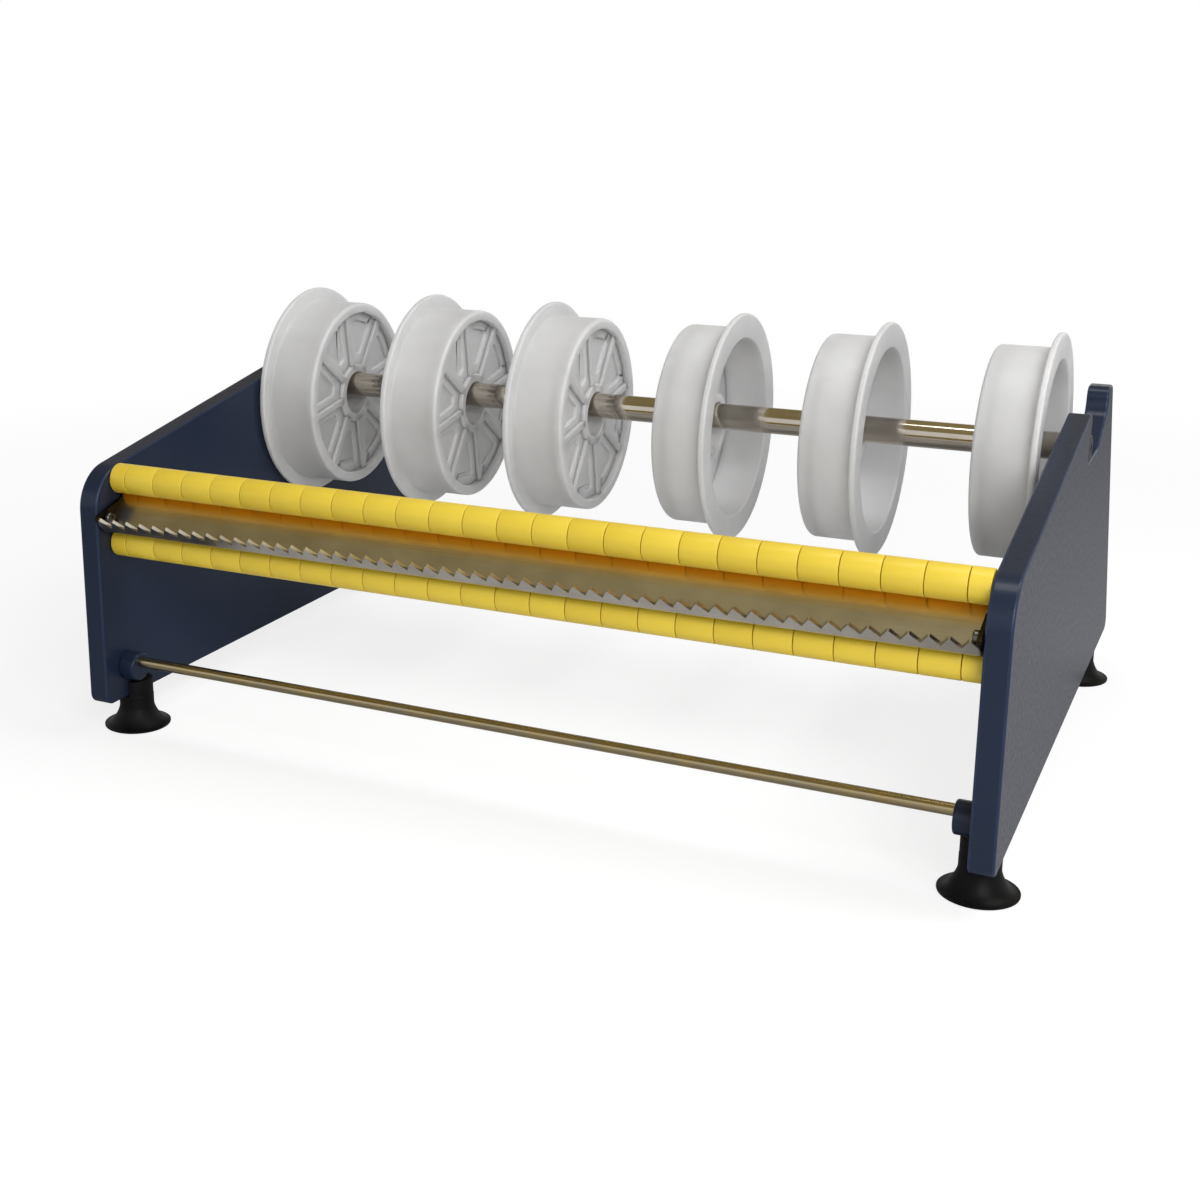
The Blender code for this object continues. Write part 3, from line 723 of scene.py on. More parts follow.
class Shaper:
    """Collects the faces of one piece and turns them into an object on a body."""

    def __init__(self) -> None:
        """Start with no faces."""
        self.work = bmesh.new()

    def loft(self, rings: Sequence[Sequence[Vector]], caps: bool = False,
             looped: bool = False) -> list[list[bmesh.types.BMVert]]:
        """Join rings of equally many points.

        Args:
            rings: The rings in order. A ring of one point is a pole.
            caps: Whether the first and last rings are closed with a face.
            looped: Whether the last ring joins the first.

        Returns:
            The corners of each ring.
        """
        rows = [[self.work.verts.new(point) for point in ring] for ring in rings]
        pairs = list(zip(rows, rows[1:]))
        if looped:
            pairs.append((rows[-1], rows[0]))
        for first, second in pairs:
            for index in range(max(len(first), len(second))):
                other = (index + 1) % max(len(first), len(second))
                if len(first) == 1:
                    corners = (first[0], second[other], second[index])
                elif len(second) == 1:
                    corners = (first[index], first[other], second[0])
                else:
                    corners = (first[index], first[other], second[other], second[index])
                self.work.faces.new(corners)
        if caps:
            for row in (rows[0], rows[-1]):
                if len(row) > 2:
                    self.work.faces.new(row)
        return rows

    @staticmethod
    def ring(along: float, radius: float, sides: int) -> list[Vector]:
        """Points round the X axis.

        Args:
            along: X of all points.
            radius: Their distance from the axis. Zero gives the pole alone.
            sides: Number of points.

        Returns:
            The points in order.
        """
        if radius == 0:
            return [Vector((along, 0, 0))]
        angles = [math.tau * side / sides for side in range(sides)]
        return [Vector((along, radius * math.cos(a), radius * math.sin(a))) for a in angles]

    def turn(self, profile: Sequence[Point], sides: int, looped: bool) -> None:
        """Turn an (x, radius) profile, closed on itself if looped, about the X axis."""
        self.loft([self.ring(along, radius, sides) for along, radius in profile], looped=looped)

    def prism(self, outline: Sequence[Point], start: float, end: float, edge: float = 0.0,
              steps: int = 4) -> None:
        """Extrude a (y, z) outline along X, with rounded edges.

        Args:
            outline: The outline.
            start: X of one face.
            end: X of the other.
            edge: Radius of the edges between the faces and the wall.
            steps: Number of strips in each rounded edge.
        """
        levels = [(0.0, 0.0)]
        if edge:
            levels = [(edge + SUPPORT, 0.0), *quarter_round(edge, steps), (0.0, edge + SUPPORT)]
        inwards = 1 if end > start else -1
        rings = []
        for face, way in ((start, inwards), (end, -inwards)):
            loops = [[Vector((face + way * deep, y, z)) for y, z in offset(outline, -inset)]
                     for inset, deep in levels]
            rings.extend(loops if face == start else reversed(loops))
        self.loft(rings, caps=True)

    def add_mesh(self, mesh: bpy.types.Mesh) -> None:
        """Take over the faces of a mesh, which is then removed."""
        self.work.from_mesh(mesh)
        bpy.data.meshes.remove(mesh)

    def move(self, matrix: Matrix) -> None:
        """Move all that has been made so far."""
        bmesh.ops.transform(self.work, matrix=matrix, verts=self.work.verts)

    def copy(self) -> Shaper:
        """Copy the faces.

        Returns:
            A second shaper with the same faces.
        """
        made = Shaper()
        made.work.free()
        made.work = self.work.copy()
        return made

    def to_mesh(self, name: str) -> bpy.types.Mesh:
        """Turn the faces into a mesh and let them go.

        Args:
            name: Name of the mesh.

        Returns:
            The mesh.
        """
        mesh = bpy.data.meshes.new(name)
        self.work.to_mesh(mesh)
        self.work.free()
        return mesh

    def piece(self, node: str, finish: Finish, body: str, sharp: float = 32.0,
              painted_on: dict[str, Callable[[Vector], float]] | None = None) -> Item:
        """Store the faces as an object that stands for a CAD node.

        Args:
            node: The CAD node that the piece replaces.
            finish: The finish of the piece.
            body: The CAD body that the piece moves with.
            sharp: Angle in degrees above which an edge stays sharp.
            painted_on: Names of attributes for the finish to read, each with the
                function that gives its value, from 0 to 1, at a vertex position.

        Returns:
            The finished object.
        """
        bmesh.ops.remove_doubles(self.work, verts=self.work.verts, dist=WELD)
        bmesh.ops.recalc_face_normals(self.work, faces=self.work.faces)
        mesh = self.to_mesh(f"dressed_{node}")
        for name, value_at in (painted_on or {}).items():
            values = mesh.attributes.new(name, "FLOAT", "POINT")
            values.data.foreach_set("value", [value_at(vertex.co) for vertex in mesh.vertices])
        mesh.shade_smooth()
        mesh.set_sharp_from_angle(angle=math.radians(sharp))
        mesh.materials.clear()
        mesh.materials.append(finish.material())
        item = put(f"dressed_{node}", mesh)
        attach(item, body)
        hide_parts(node)
        return item


def tube_profile(start: float, end: float, bore: float, radius: float, bore_edge: float,
                 edge: float) -> tuple[Corner, ...]:
    """Profile of a tube's wall, with eased edges at both ends."""
    return (Corner(start, bore, bore_edge), Corner(start, radius, edge), Corner(end, radius, edge),
            Corner(end, bore, bore_edge))


def rod_profile(half: float, radius: float, edge: float) -> tuple[Corner, ...]:
    """Profile of a solid rod with eased ends, from pole to pole."""
    return (Corner(-half, 0.0), Corner(-half, radius, edge), Corner(half, radius, edge),
            Corner(half, 0.0))


def turned_piece(node: str, finish: Finish, body: str, profile: Sequence[Corner], sides: int,
                 place: Matrix, looped: bool = False, way: int = 1) -> Item:
    """Turn an (x, radius) profile about X, move it and store it as a piece.

    Args:
        node: The CAD node that the piece replaces.
        finish: The finish of the piece.
        body: The CAD body that the piece moves with.
        profile: The corners of the profile.
        sides: Number of sides round the axis.
        place: Where the piece goes.
        looped: Whether the profile closes on itself, as round a tube's wall.
        way: -1 swaps the profile's ends along X, and 1 leaves them.

    Returns:
        The piece.
    """
    shaper = Shaper()
    points = rounded(profile, closed=looped)
    shaper.turn([(way * along, radius) for along, radius in points], sides, looped)
    shaper.move(place)
    return shaper.piece(node, finish, body)


# ---------------------------------------------------------------- geometry node trees


class NodeShape:
    """A Geometry Nodes tree with named inputs, whose result becomes a plain mesh."""

    def __init__(self, name: str, inputs: dict[str, str]) -> None:
        """Start a tree with its inputs.

        Args:
            name: Name of the tree.
            inputs: Name of each input and the kind of its socket.
        """
        self.tree = bpy.data.node_groups.new(name, "GeometryNodeTree")
        self.sockets: dict[str, str] = {}
        self.tree.interface.new_socket("Shape", in_out="OUTPUT", socket_type="NodeSocketGeometry")
        for label, kind in inputs.items():
            socket = self.tree.interface.new_socket(label, in_out="INPUT", socket_type=kind)
            self.sockets[label] = socket.identifier
        self.given = self.add("NodeGroupInput")

    def add(self, kind: str, inputs: dict[Any, Any] | None = None,
            **settings: Any) -> bpy.types.Node:
        """Add a node to the tree, as add_node does."""
        return add_node(self.tree, kind, inputs, **settings)

    def read(self, label: str) -> Socket:
        """The socket that carries a named input."""
        return self.given.outputs[label]

    def maths(self, operation: str, first: Any, second: Any = 0.0) -> Socket:
        """The result of one sum on two numbers or sockets."""
        return maths(self.tree, operation, first, second)

    def vector(self, x: Any = 0.0, y: Any = 0.0, z: Any = 0.0) -> Socket:
        """A vector put together from numbers or sockets."""
        return self.add("ShaderNodeCombineXYZ", {"X": x, "Y": y, "Z": z}).outputs[0]

    def vectors(self, operation: str, first: Any, second: Any) -> Socket:
        """The vector result of one sum on two vectors or sockets."""
        made = self.add("ShaderNodeVectorMath", {0: first, 1: second}, operation=operation)
        return made.outputs[0]

    def close(self, shape: Socket) -> None:
        """End the tree: make instances real, set the material and hand the shape out.

        Args:
            shape: The finished shape.
        """
        real = self.add("GeometryNodeRealizeInstances", {0: shape})
        dressed = self.add("GeometryNodeSetMaterial", {
            "Geometry": real.outputs[0], "Material": self.read("Finish")})
        self.add("NodeGroupOutput", {0: dressed.outputs[0]})

    def grow(self, values: dict[str, Any], base: bpy.types.Mesh | None = None) -> bpy.types.Mesh:
        """Evaluate the tree once.

        Args:
            values: Value of each named input.
            base: The mesh that the tree starts from, where it needs one.

        Returns:
            The result as a plain mesh.
        """
        holder = put("holder", base or bpy.data.meshes.new("holder"))
        step = holder.modifiers.new("shape", "NODES")
        step.node_group = self.tree
        for label, value in values.items():
            step[self.sockets[label]] = value
        bpy.context.view_layer.update()
        graph = bpy.context.evaluated_depsgraph_get()
        made = bpy.data.meshes.new_from_object(holder.evaluated_get(graph))
        bpy.data.objects.remove(holder)
        return made


def ring_row_tree() -> NodeShape:
    """Tree that sets equal rings side by side along X.

    Returns:
        The tree, with its sizes as inputs.
    """
    shape = NodeShape("ring_row", {
        "Rings": "NodeSocketInt", "Pitch": "NodeSocketFloat", "Ring length": "NodeSocketFloat",
        "Outer radius": "NodeSocketFloat", "Bore radius": "NodeSocketFloat",
        "Edge radius": "NodeSocketFloat", "Place": "NodeSocketVector", "Seed": "NodeSocketInt",
        "Finish": "NodeSocketMaterial"})
    read, sums = shape.read, shape.maths
    wall = sums("SUBTRACT", read("Outer radius"), read("Bore radius"))
    both = sums("ADD", read("Outer radius"), read("Bore radius"))
    path = shape.add("GeometryNodeCurvePrimitiveCircle", {
        "Resolution": RING_SIDES, "Radius": sums("DIVIDE", both, 2.0)})
    section = shape.add("GeometryNodeCurvePrimitiveQuadrilateral", {
        "Width": wall, "Height": read("Ring length")})
    eased = shape.add("GeometryNodeFilletCurve", {
        "Curve": section.outputs[0], "Radius": read("Edge radius"), "Count": RING_EDGE_STEPS},
        mode="POLY")
    ring = shape.add("GeometryNodeCurveToMesh", {
        "Curve": path.outputs[0], "Profile Curve": eased.outputs[0]})
    across = shape.add("GeometryNodeTransform", {
        "Geometry": ring.outputs[0], "Rotation": (0.0, math.pi / 2, 0.0)})
    last = sums("SUBTRACT", read("Rings"), 1.0)
    start = sums("MULTIPLY", sums("MULTIPLY", last, read("Pitch")), -0.5)
    line = shape.add("GeometryNodeMeshLine", {
        "Count": read("Rings"), "Start Location": shape.vector(start),
        "Offset": shape.vector(read("Pitch"))})
    turn = shape.add("FunctionNodeRandomValue", {
        0: (0.0, 0.0, 0.0), 1: (math.tau, 0.0, 0.0), "Seed": read("Seed")},
        data_type="FLOAT_VECTOR")
    rings = shape.add("GeometryNodeInstanceOnPoints", {
        "Points": line.outputs[0], "Instance": across.outputs[0], "Rotation": turn.outputs[0]})
    placed = shape.add("GeometryNodeTransform", {
        "Geometry": rings.outputs[0], "Translation": read("Place")})
    shape.close(placed.outputs[0])
    return shape


def spoke_wheel_tree() -> NodeShape:
    """Tree that repeats one sector of a web, with its pocket and rib, round the X axis.

    Returns:
        The tree, which starts from the sector's mesh.
    """
    shape = NodeShape("spoke_wheel", {
        "Sector": "NodeSocketGeometry", "Count": "NodeSocketInt", "Finish": "NodeSocketMaterial"})
    read, sums = shape.read, shape.maths
    points = shape.add("GeometryNodeMeshLine", {
        "Count": read("Count"), "Start Location": (0.0, 0.0, 0.0), "Offset": (0.0, 0.0, 0.0)})
    number = shape.add("GeometryNodeInputIndex")
    share = sums("DIVIDE", number.outputs[0], read("Count"))
    turn = shape.vector(sums("MULTIPLY", share, math.tau))
    sectors = shape.add("GeometryNodeInstanceOnPoints", {
        "Points": points.outputs[0], "Instance": read("Sector"), "Rotation": turn})
    real = shape.add("GeometryNodeRealizeInstances", {0: sectors.outputs[0]})
    joined = shape.add("GeometryNodeMergeByDistance", {
        "Geometry": real.outputs[0], "Distance": TREE_WELD})
    shape.close(joined.outputs[0])
    return shape


def toothed_sheet_tree() -> NodeShape:
    """Tree that draws a sheet's section out along X and cuts teeth in its lip.

    The base mesh holds the section's points in order, the first one again at the
    end. Each tooth has three stations along X: the notch before it and the two
    corners of its tip. At a notch, all that stands above the root line is pulled
    back to it.

    Returns:
        The tree, with the sizes of the teeth as inputs.
    """
    shape = NodeShape("toothed_sheet", {
        "Section": "NodeSocketGeometry", "Teeth": "NodeSocketInt", "Pitch": "NodeSocketFloat",
        "Tip land": "NodeSocketFloat", "Root": "NodeSocketVector", "Lip": "NodeSocketVector",
        "Rows": "NodeSocketInt", "Finish": "NodeSocketMaterial"})
    read, sums = shape.read, shape.maths
    each, tip_middle = 3.0, 1.5
    stations = sums("ADD", sums("MULTIPLY", read("Teeth"), each), 1.0)
    grid = shape.add("GeometryNodeMeshGrid", {
        "Size X": 1.0, "Size Y": 1.0, "Vertices X": stations, "Vertices Y": read("Rows")})
    number = shape.add("GeometryNodeInputIndex").outputs[0]
    station = sums("FLOOR", sums("DIVIDE", sums("ADD", number, 0.5), read("Rows")))
    row = sums("SUBTRACT", number, sums("MULTIPLY", station, read("Rows")))
    tooth = sums("FLOOR", sums("DIVIDE", sums("ADD", station, 0.5), each))
    phase = sums("SUBTRACT", station, sums("MULTIPLY", tooth, each))
    notch = sums("LESS_THAN", phase, 0.5)
    on_tip = sums("SUBTRACT", 1.0, notch)
    half = sums("MULTIPLY", read("Tip land"), sums("SUBTRACT", phase, tip_middle))
    to_tip = sums("ADD", sums("MULTIPLY", read("Pitch"), 0.5), half)
    middle = sums("MULTIPLY", read("Teeth"), 0.5)
    at_notch = sums("MULTIPLY", sums("SUBTRACT", tooth, middle), read("Pitch"))
    along = sums("ADD", at_notch, sums("MULTIPLY", on_tip, to_tip))
    spot = shape.add("GeometryNodeInputPosition").outputs[0]
    sampled = shape.add("GeometryNodeSampleIndex", {
        "Geometry": read("Section"), "Value": spot, "Index": row},
        data_type="FLOAT_VECTOR", domain="POINT").outputs[0]
    from_root = shape.vectors("SUBTRACT", sampled, read("Root"))
    above = shape.add("ShaderNodeVectorMath", {
        0: from_root, 1: read("Lip")}, operation="DOT_PRODUCT").outputs["Value"]
    pull = sums("MULTIPLY", sums("MAXIMUM", above, 0.0), notch)
    back = shape.add("ShaderNodeVectorMath", {0: read("Lip"), "Scale": pull}, operation="SCALE")
    pulled = shape.vectors("SUBTRACT", sampled, back.outputs[0])
    placed = shape.vectors("ADD", pulled, shape.vector(along))
    drawn = shape.add("GeometryNodeSetPosition", {"Geometry": grid.outputs[0], "Position": placed})
    joined = shape.add("GeometryNodeMergeByDistance", {
        "Geometry": drawn.outputs[0], "Distance": TREE_WELD})
    shape.close(joined.outputs[0])
    return shape


# ---------------------------------------------------------------- the dispenser's pieces


@dataclass(frozen=True)
class Layout:
    """Sizes that several pieces share, and the way from a depth to a world Y."""

    front_y: float
    inner_half: float = 157.5 * MM
    plate_thickness: float = 8.0 * MM
    table_clearance: float = 13.0 * MM
    shaft_depth: float = 150.0 * MM
    shaft_height: float = 113.2 * MM
    shaft_radius: float = 5.0 * MM

    def y(self, depth: float) -> float:
        """World Y of a depth that is counted from the plates' front edges."""
        return self.front_y + depth

    def at(self, depth: float, height: float, x: float = 0.0) -> Matrix:
        """Shift from the origin to a depth and a height."""
        return Matrix.Translation((x, self.y(depth), height))

    @property
    def outer_half(self) -> float:
        """Half of the width over both plates."""
        return self.inner_half + self.plate_thickness


@dataclass
class SidePlates:
    """The two upright plates, with a hook-shaped notch and a horn behind it."""

    layout: Layout
    knee_height: float = 101.0 * MM
    knee_radius: float = 16.0 * MM
    slope: float = math.radians(10.1)
    lip_lean: float = math.radians(18.0)
    lip_radius: float = 3.5 * MM
    floor_angle: float = math.radians(2.0)
    ramp_start: float = 174.0 * MM
    ramp_top: float = 119.0 * MM
    heel_radius: float = 8.0 * MM
    horn_front: float = 193.0 * MM
    horn_lean: float = math.radians(8.0)
    horn_height: float = 127.8 * MM
    horn_width: float = 12.0 * MM
    horn_radius: float = 4.5 * MM
    rear_lean: float = math.radians(28.0)
    foot_radius: float = 4.0 * MM
    edge_radius: float = 0.8 * MM
    edge_steps: int = 5
    arc_step: float = math.radians(5)
    finish: Finish = NavyPowderCoat()

    @staticmethod
    def crossing(first: Point, first_lean: float, second: Point, second_lean: float) -> Point:
        """Where two lines meet, each given by a point and its lean from upright.

        Args:
            first: Depth and height of a point on the first line.
            first_lean: Its lean in radians.
            second: Depth and height of a point on the second line.
            second_lean: Its lean in radians.

        Returns:
            Depth and height of the crossing.
        """
        way = Vector((math.sin(first_lean), math.cos(first_lean)))
        other = Vector((math.sin(second_lean), math.cos(second_lean)))
        apart = Vector(second) - Vector(first)
        reach = (apart.x * other.y - apart.y * other.x) / (way.x * other.y - way.y * other.x)
        met = Vector(first) + way * reach
        return (met.x, met.y)

    def outline(self) -> list[Point]:
        """Outline of a plate in world Y and Z.

        Returns:
            The rounded outline.
        """
        layout = self.layout
        upright = math.pi / 2
        seat = layout.shaft_radius + RUNNING_GAP
        wall_foot = (layout.shaft_depth - seat * math.cos(self.lip_lean),
                     layout.shaft_height + seat * math.sin(self.lip_lean))
        floor_foot = (layout.shaft_depth, layout.shaft_height - seat / math.cos(self.floor_angle))
        floor_lean = upright - self.floor_angle
        lip = self.crossing((0.0, self.knee_height), upright - self.slope, wall_foot, self.lip_lean)
        corner = self.crossing(wall_foot, self.lip_lean, floor_foot, floor_lean)
        heel = self.crossing(floor_foot, floor_lean, (self.ramp_start, 0.0), 0.0)
        horn = self.crossing((self.horn_front, self.ramp_top), self.horn_lean,
                             (0.0, self.horn_height), upright)
        horn_back = self.horn_front + self.horn_width
        rear = horn_back + (self.horn_height - layout.table_clearance) * math.tan(self.rear_lean)
        corners = (
            Corner(0.0, layout.table_clearance, self.foot_radius),
            Corner(0.0, self.knee_height, self.knee_radius),
            Corner(*lip, self.lip_radius),
            Corner(*corner, seat),
            Corner(*heel, self.heel_radius),
            Corner(self.horn_front, self.ramp_top, self.heel_radius),
            Corner(*horn, self.horn_radius),
            Corner(horn_back, self.horn_height, self.horn_radius),
            Corner(rear, layout.table_clearance, self.foot_radius),
        )
        return [(layout.y(depth), height) for depth, height in rounded(corners, step=self.arc_step)]

    def build(self) -> list[Item]:
        """Build both plates.

        Returns:
            The plates.
        """
        made = []
        outline = self.outline()
        for side in Side:
            inner = side.value * self.layout.inner_half
            outer = side.value * self.layout.outer_half

            # The edge mask carries the paler edge colour, partly rubbed wear and partly a painted
            # highlight.
            def on_edge(place: Vector) -> float:
                """1 on the plate's rounded edges, and 0 elsewhere."""
                near = min(abs(place.x - inner), abs(place.x - outer))
                return float(SUPPORT < near < self.edge_radius + SUPPORT / 2)

            shaper = Shaper()
            shaper.prism(outline, inner, outer, self.edge_radius, self.edge_steps)
            made.append(shaper.piece(
                f"side_plate_{side.word}", self.finish, FRAME_BODY, painted_on={EDGE: on_edge}))
        return made


@dataclass
class RollShaft:
    """The lift-out tube and the plug in each of its ends."""

    layout: Layout
    wall: float = 1.0 * MM
    edge: float = 0.35 * MM
    bore_edge: float = 0.15 * MM
    sides: int = 72
    plug_head: float = 1.6 * MM
    plug_length: float = 12.0 * MM
    plug_edge: float = 0.7 * MM
    plug_tip_edge: float = 0.6 * MM
    dimple_depth: float = 0.5 * MM
    dimple_edge: float = 0.3 * MM
    dimple_share: float = 0.42
    dimple_floor_share: float = 0.3
    plug_sides: int = 48
    finish: Finish = ChromedTube()
    plug_finish: Finish = BlackPolyethylene()

    def build(self) -> list[Item]:
        """Build the tube and its plugs.

        Returns:
            The three pieces.
        """
        layout = self.layout
        outer, radius = layout.outer_half, layout.shaft_radius
        bore = radius - self.wall
        body = bore - RUNNING_GAP
        shoulder = outer - self.plug_head
        tip = shoulder - self.plug_length
        dimple = outer - self.dimple_depth
        half = shoulder - RUNNING_GAP
        place = layout.at(layout.shaft_depth, layout.shaft_height)
        tube = tube_profile(-half, half, bore, radius, self.bore_edge, self.edge)
        plug = (
            Corner(tip, 0.0), Corner(tip, body, self.plug_tip_edge), Corner(shoulder, body),
            Corner(shoulder, radius), Corner(outer, radius, self.plug_edge),
            Corner(outer, radius * self.dimple_share, self.dimple_edge),
            Corner(dimple, radius * self.dimple_floor_share, self.dimple_edge), Corner(dimple, 0.0))
        made = [turned_piece("roll_shaft", self.finish, SHAFT_BODY, tube, self.sides, place,
                             looped=True)]
        for side in Side:
            made.append(turned_piece(f"shaft_plug_{side.word}", self.plug_finish, SHAFT_BODY, plug,
                                     self.plug_sides, place, way=side.value))
        return made


@dataclass
class CoreDiscs:
    """The six moulded discs that hold the cores of the label rolls."""

    layout: Layout
    drum_radius: float = 38.5 * MM
    drum_wall: float = 4.0 * MM
    drum_width: float = 22.5 * MM
    drum_edge: float = 1.2 * MM
    flange_radius: float = 44.0 * MM
    flange_thickness: float = 2.2 * MM
    web_thickness: float = 2.4 * MM
    web_recess: float = 3.0 * MM
    hub_bore: float = 9.0 * MM
    hub_wall: float = 3.3 * MM
    hub_length: float = 10.0 * MM
    spokes: int = 8
    spoke_width: float = 3.0 * MM
    spoke_proud: float = 1.8 * MM
    spoke_turn: float = math.radians(10.0)
    pocket_depth: float = 1.2 * MM
    pocket_margin: float = 3.5 * MM
    pocket_inner_margin: float = 4.5 * MM
    pocket_spoke_margin: float = 3.0 * MM
    pocket_corner: float = 1.6 * MM
    pocket_edge: float = 0.4 * MM
    pocket_steps: int = 4
    pocket_edge_steps: int = 3
    middle_share: float = 0.52
    bore_edge: float = 0.6 * MM
    flange_edge: float = 0.7 * MM
    flange_fillet: float = 0.9 * MM
    drum_bore_edge: float = 0.5 * MM
    hub_bore_edge: float = 0.4 * MM
    rib_edge: float = 0.6 * MM
    arc_step: float = math.radians(18)
    small_arc_step: float = math.radians(22)
    drum_sides: int = 120
    hub_sides: int = 72
    flange_faces: tuple[float, ...] = (
        -156.21 * MM, -99.29 * MM, -44.89 * MM, 36.6 * MM, 92.52 * MM, 153.18 * MM)
    finish: Finish = LightMouldedAbs()

    @property
    def drum_inner(self) -> float:
        """Radius of the drum's bore."""
        return self.drum_radius - self.drum_wall

    @property
    def hub_radius(self) -> float:
        """Outer radius of the hub."""
        return self.hub_bore + self.hub_wall

    @property
    def web_out(self) -> float:
        """X of the web's outer face, counted from the flange's face."""
        return self.drum_width - self.web_recess

    def pocket(self) -> list[Point]:
        """Outline of the pocket between two spokes, mirrored about its own middle.

        Returns:
            Points in the disc's plane, with the pocket's middle along +y.
        """
        half_turn = math.pi / self.spokes
        aside = self.spoke_width / 2 + self.pocket_spoke_margin
        inner = self.hub_radius + self.pocket_inner_margin
        outer = self.drum_inner - self.pocket_margin
        half_in = half_turn - math.asin(aside / inner)
        half_out = half_turn - math.asin(aside / outer)
        steps = self.pocket_steps
        places = [(inner, -half_in), (outer, -half_out)]
        places.extend((outer, half_out * place / steps) for place in range(1 - steps, steps))
        places.extend(((outer, half_out), (inner, half_in), (inner, 0.0)))
        rounded_at = (-half_in, -half_out, half_out, half_in)
        return rounded([
            Corner(radius * math.cos(angle), radius * math.sin(angle),
                   self.pocket_corner if angle in rounded_at else 0.0)
            for radius, angle in places], step=self.arc_step)

    @property
    def web_radii(self) -> tuple[float, float]:
        """Radii at which the web ends, inside the walls of the hub and of the drum."""
        return (self.hub_radius - self.hub_wall / 2, self.drum_inner + self.drum_wall / 2)

    def sector_border(self, pocket: Sequence[Point]) -> list[Point]:
        """Point on the border of the sector for each point of the pocket.

        Each lies on the ray from the pocket's middle, and the four nearest to the
        sector's corners are moved onto them.

        Args:
            pocket: The pocket's outline.

        Returns:
            As many points as the pocket has.
        """
        half = math.pi / self.spokes
        low, high = self.web_radii
        centre = Vector(((low + high) * self.middle_share, 0.0))
        border = []
        for point in pocket:
            way = (Vector(point) - centre).normalized()
            reach = []
            for sign in (-1, 1):
                edge = Vector((-math.sin(sign * half), math.cos(sign * half)))
                slope = way.dot(edge)
                if abs(slope) > NEARLY_ZERO:
                    reach.append(-centre.dot(edge) / slope)
            for radius in (low, high):
                along = way.dot(centre)
                inside = along * along - centre.length_squared + radius * radius
                if inside >= 0:
                    reach.extend((-along - math.sqrt(inside), -along + math.sqrt(inside)))
            border.append(centre + way * min(value for value in reach if value > NEARLY_ZERO))
        for sign in (-1, 1):
            for radius in (low, high):
                corner = Vector((radius * math.cos(half), sign * radius * math.sin(half)))
                near = min(range(len(border)), key=lambda index: (border[index] - corner).length)
                border[near] = corner
        return [(point.x, point.y) for point in border]

    def sector(self) -> bpy.types.Mesh:
        """One eighth of the web with its pocket, and the rib beside it.

        Returns:
            A mesh round the X axis, at its place along X.
        """
        pocket = self.pocket()
        border = self.sector_border(pocket)
        floor = self.web_out - self.pocket_depth
        eased = self.pocket_edge
        loops = [(border, self.web_out), (offset(pocket, eased + SUPPORT), self.web_out)]
        loops.extend((offset(pocket, inset), self.web_out - depth)
                     for inset, depth in quarter_round(eased, self.pocket_edge_steps))
        loops.append((offset(pocket, -eased / 2), floor))
        shaper = Shaper()
        rows = shaper.loft([[Vector((x, y, z)) for y, z in points] for points, x in loops])
        shaper.work.faces.new(rows[-1])
        web_in = self.web_out - self.web_thickness
        back = [shaper.work.verts.new((web_in, y, z)) for y, z in border]
        shaper.work.faces.new(back)
        spans = [math.hypot(y, z) for y, z in border]
        for index, span in enumerate(spans):
            other = (index + 1) % len(border)
            after = spans[other]
            if any(abs(span - end) + abs(after - end) < SUPPORT / 4 for end in self.web_radii):
                shaper.work.faces.new((rows[0][index], rows[0][other], back[other], back[index]))
        half = math.pi / self.spokes
        top = self.web_out + self.spoke_proud - RUNNING_GAP
        width = self.spoke_width / 2
        foot = self.web_out - self.web_thickness / 2
        section = rounded((
            Corner(foot, -width), Corner(top, -width, self.rib_edge),
            Corner(top, width, self.rib_edge), Corner(foot, width)), step=self.small_arc_step)
        turn = Matrix.Rotation(-half, 4, "X")
        shaper.loft([[turn @ Vector((x, radius, aside)) for x, aside in section]
                     for radius in self.web_radii], caps=True)
        return shaper.to_mesh("sector")

    def disc(self) -> Shaper:
        """One whole disc, its flange's face at X = 0 and its drum towards +X.

        Returns:
            The disc's faces.
        """
        wheel = spoke_wheel_tree().grow({
            "Count": self.spokes, "Finish": self.finish.material()}, self.sector())
        shaper = Shaper()
        shaper.add_mesh(wheel)
        shaper.move(Matrix.Rotation(math.pi / self.spokes + self.spoke_turn, 4, "X"))
        shaper.turn(rounded((
            Corner(0.0, self.drum_inner, self.bore_edge),
            Corner(0.0, self.flange_radius, self.flange_edge),
            Corner(self.flange_thickness, self.flange_radius, self.flange_edge),
            Corner(self.flange_thickness, self.drum_radius, self.flange_fillet),
            Corner(self.drum_width, self.drum_radius, self.drum_edge),
            Corner(self.drum_width, self.drum_inner, self.drum_bore_edge)), step=self.arc_step),
            self.drum_sides, looped=True)
        hub = tube_profile(self.web_out - self.hub_length, self.web_out + self.spoke_proud,
                           self.hub_bore, self.hub_radius, self.hub_bore_edge, self.rib_edge)
        shaper.turn(rounded(hub, step=self.small_arc_step), self.hub_sides, looped=True)
        return shaper

    def build(self) -> list[Item]:
        """Build the six discs: the left three open to the right, the right three to the left.

        Returns:
            The discs.
        """
        layout = self.layout
        drop = self.hub_bore - layout.shaft_radius - RUNNING_GAP
        pattern = self.disc()
        made = []
        for number, face in enumerate(self.flange_faces, start=1):
            disc = pattern.copy()
            if 2 * number > len(self.flange_faces):
                disc.move(Matrix.Rotation(math.pi, 4, "Z"))
            disc.move(layout.at(layout.shaft_depth, layout.shaft_height - drop, face))
            made.append(disc.piece(f"core_disc_{number}", self.finish, f"disc_{number}"))
        pattern.work.free()
        return made


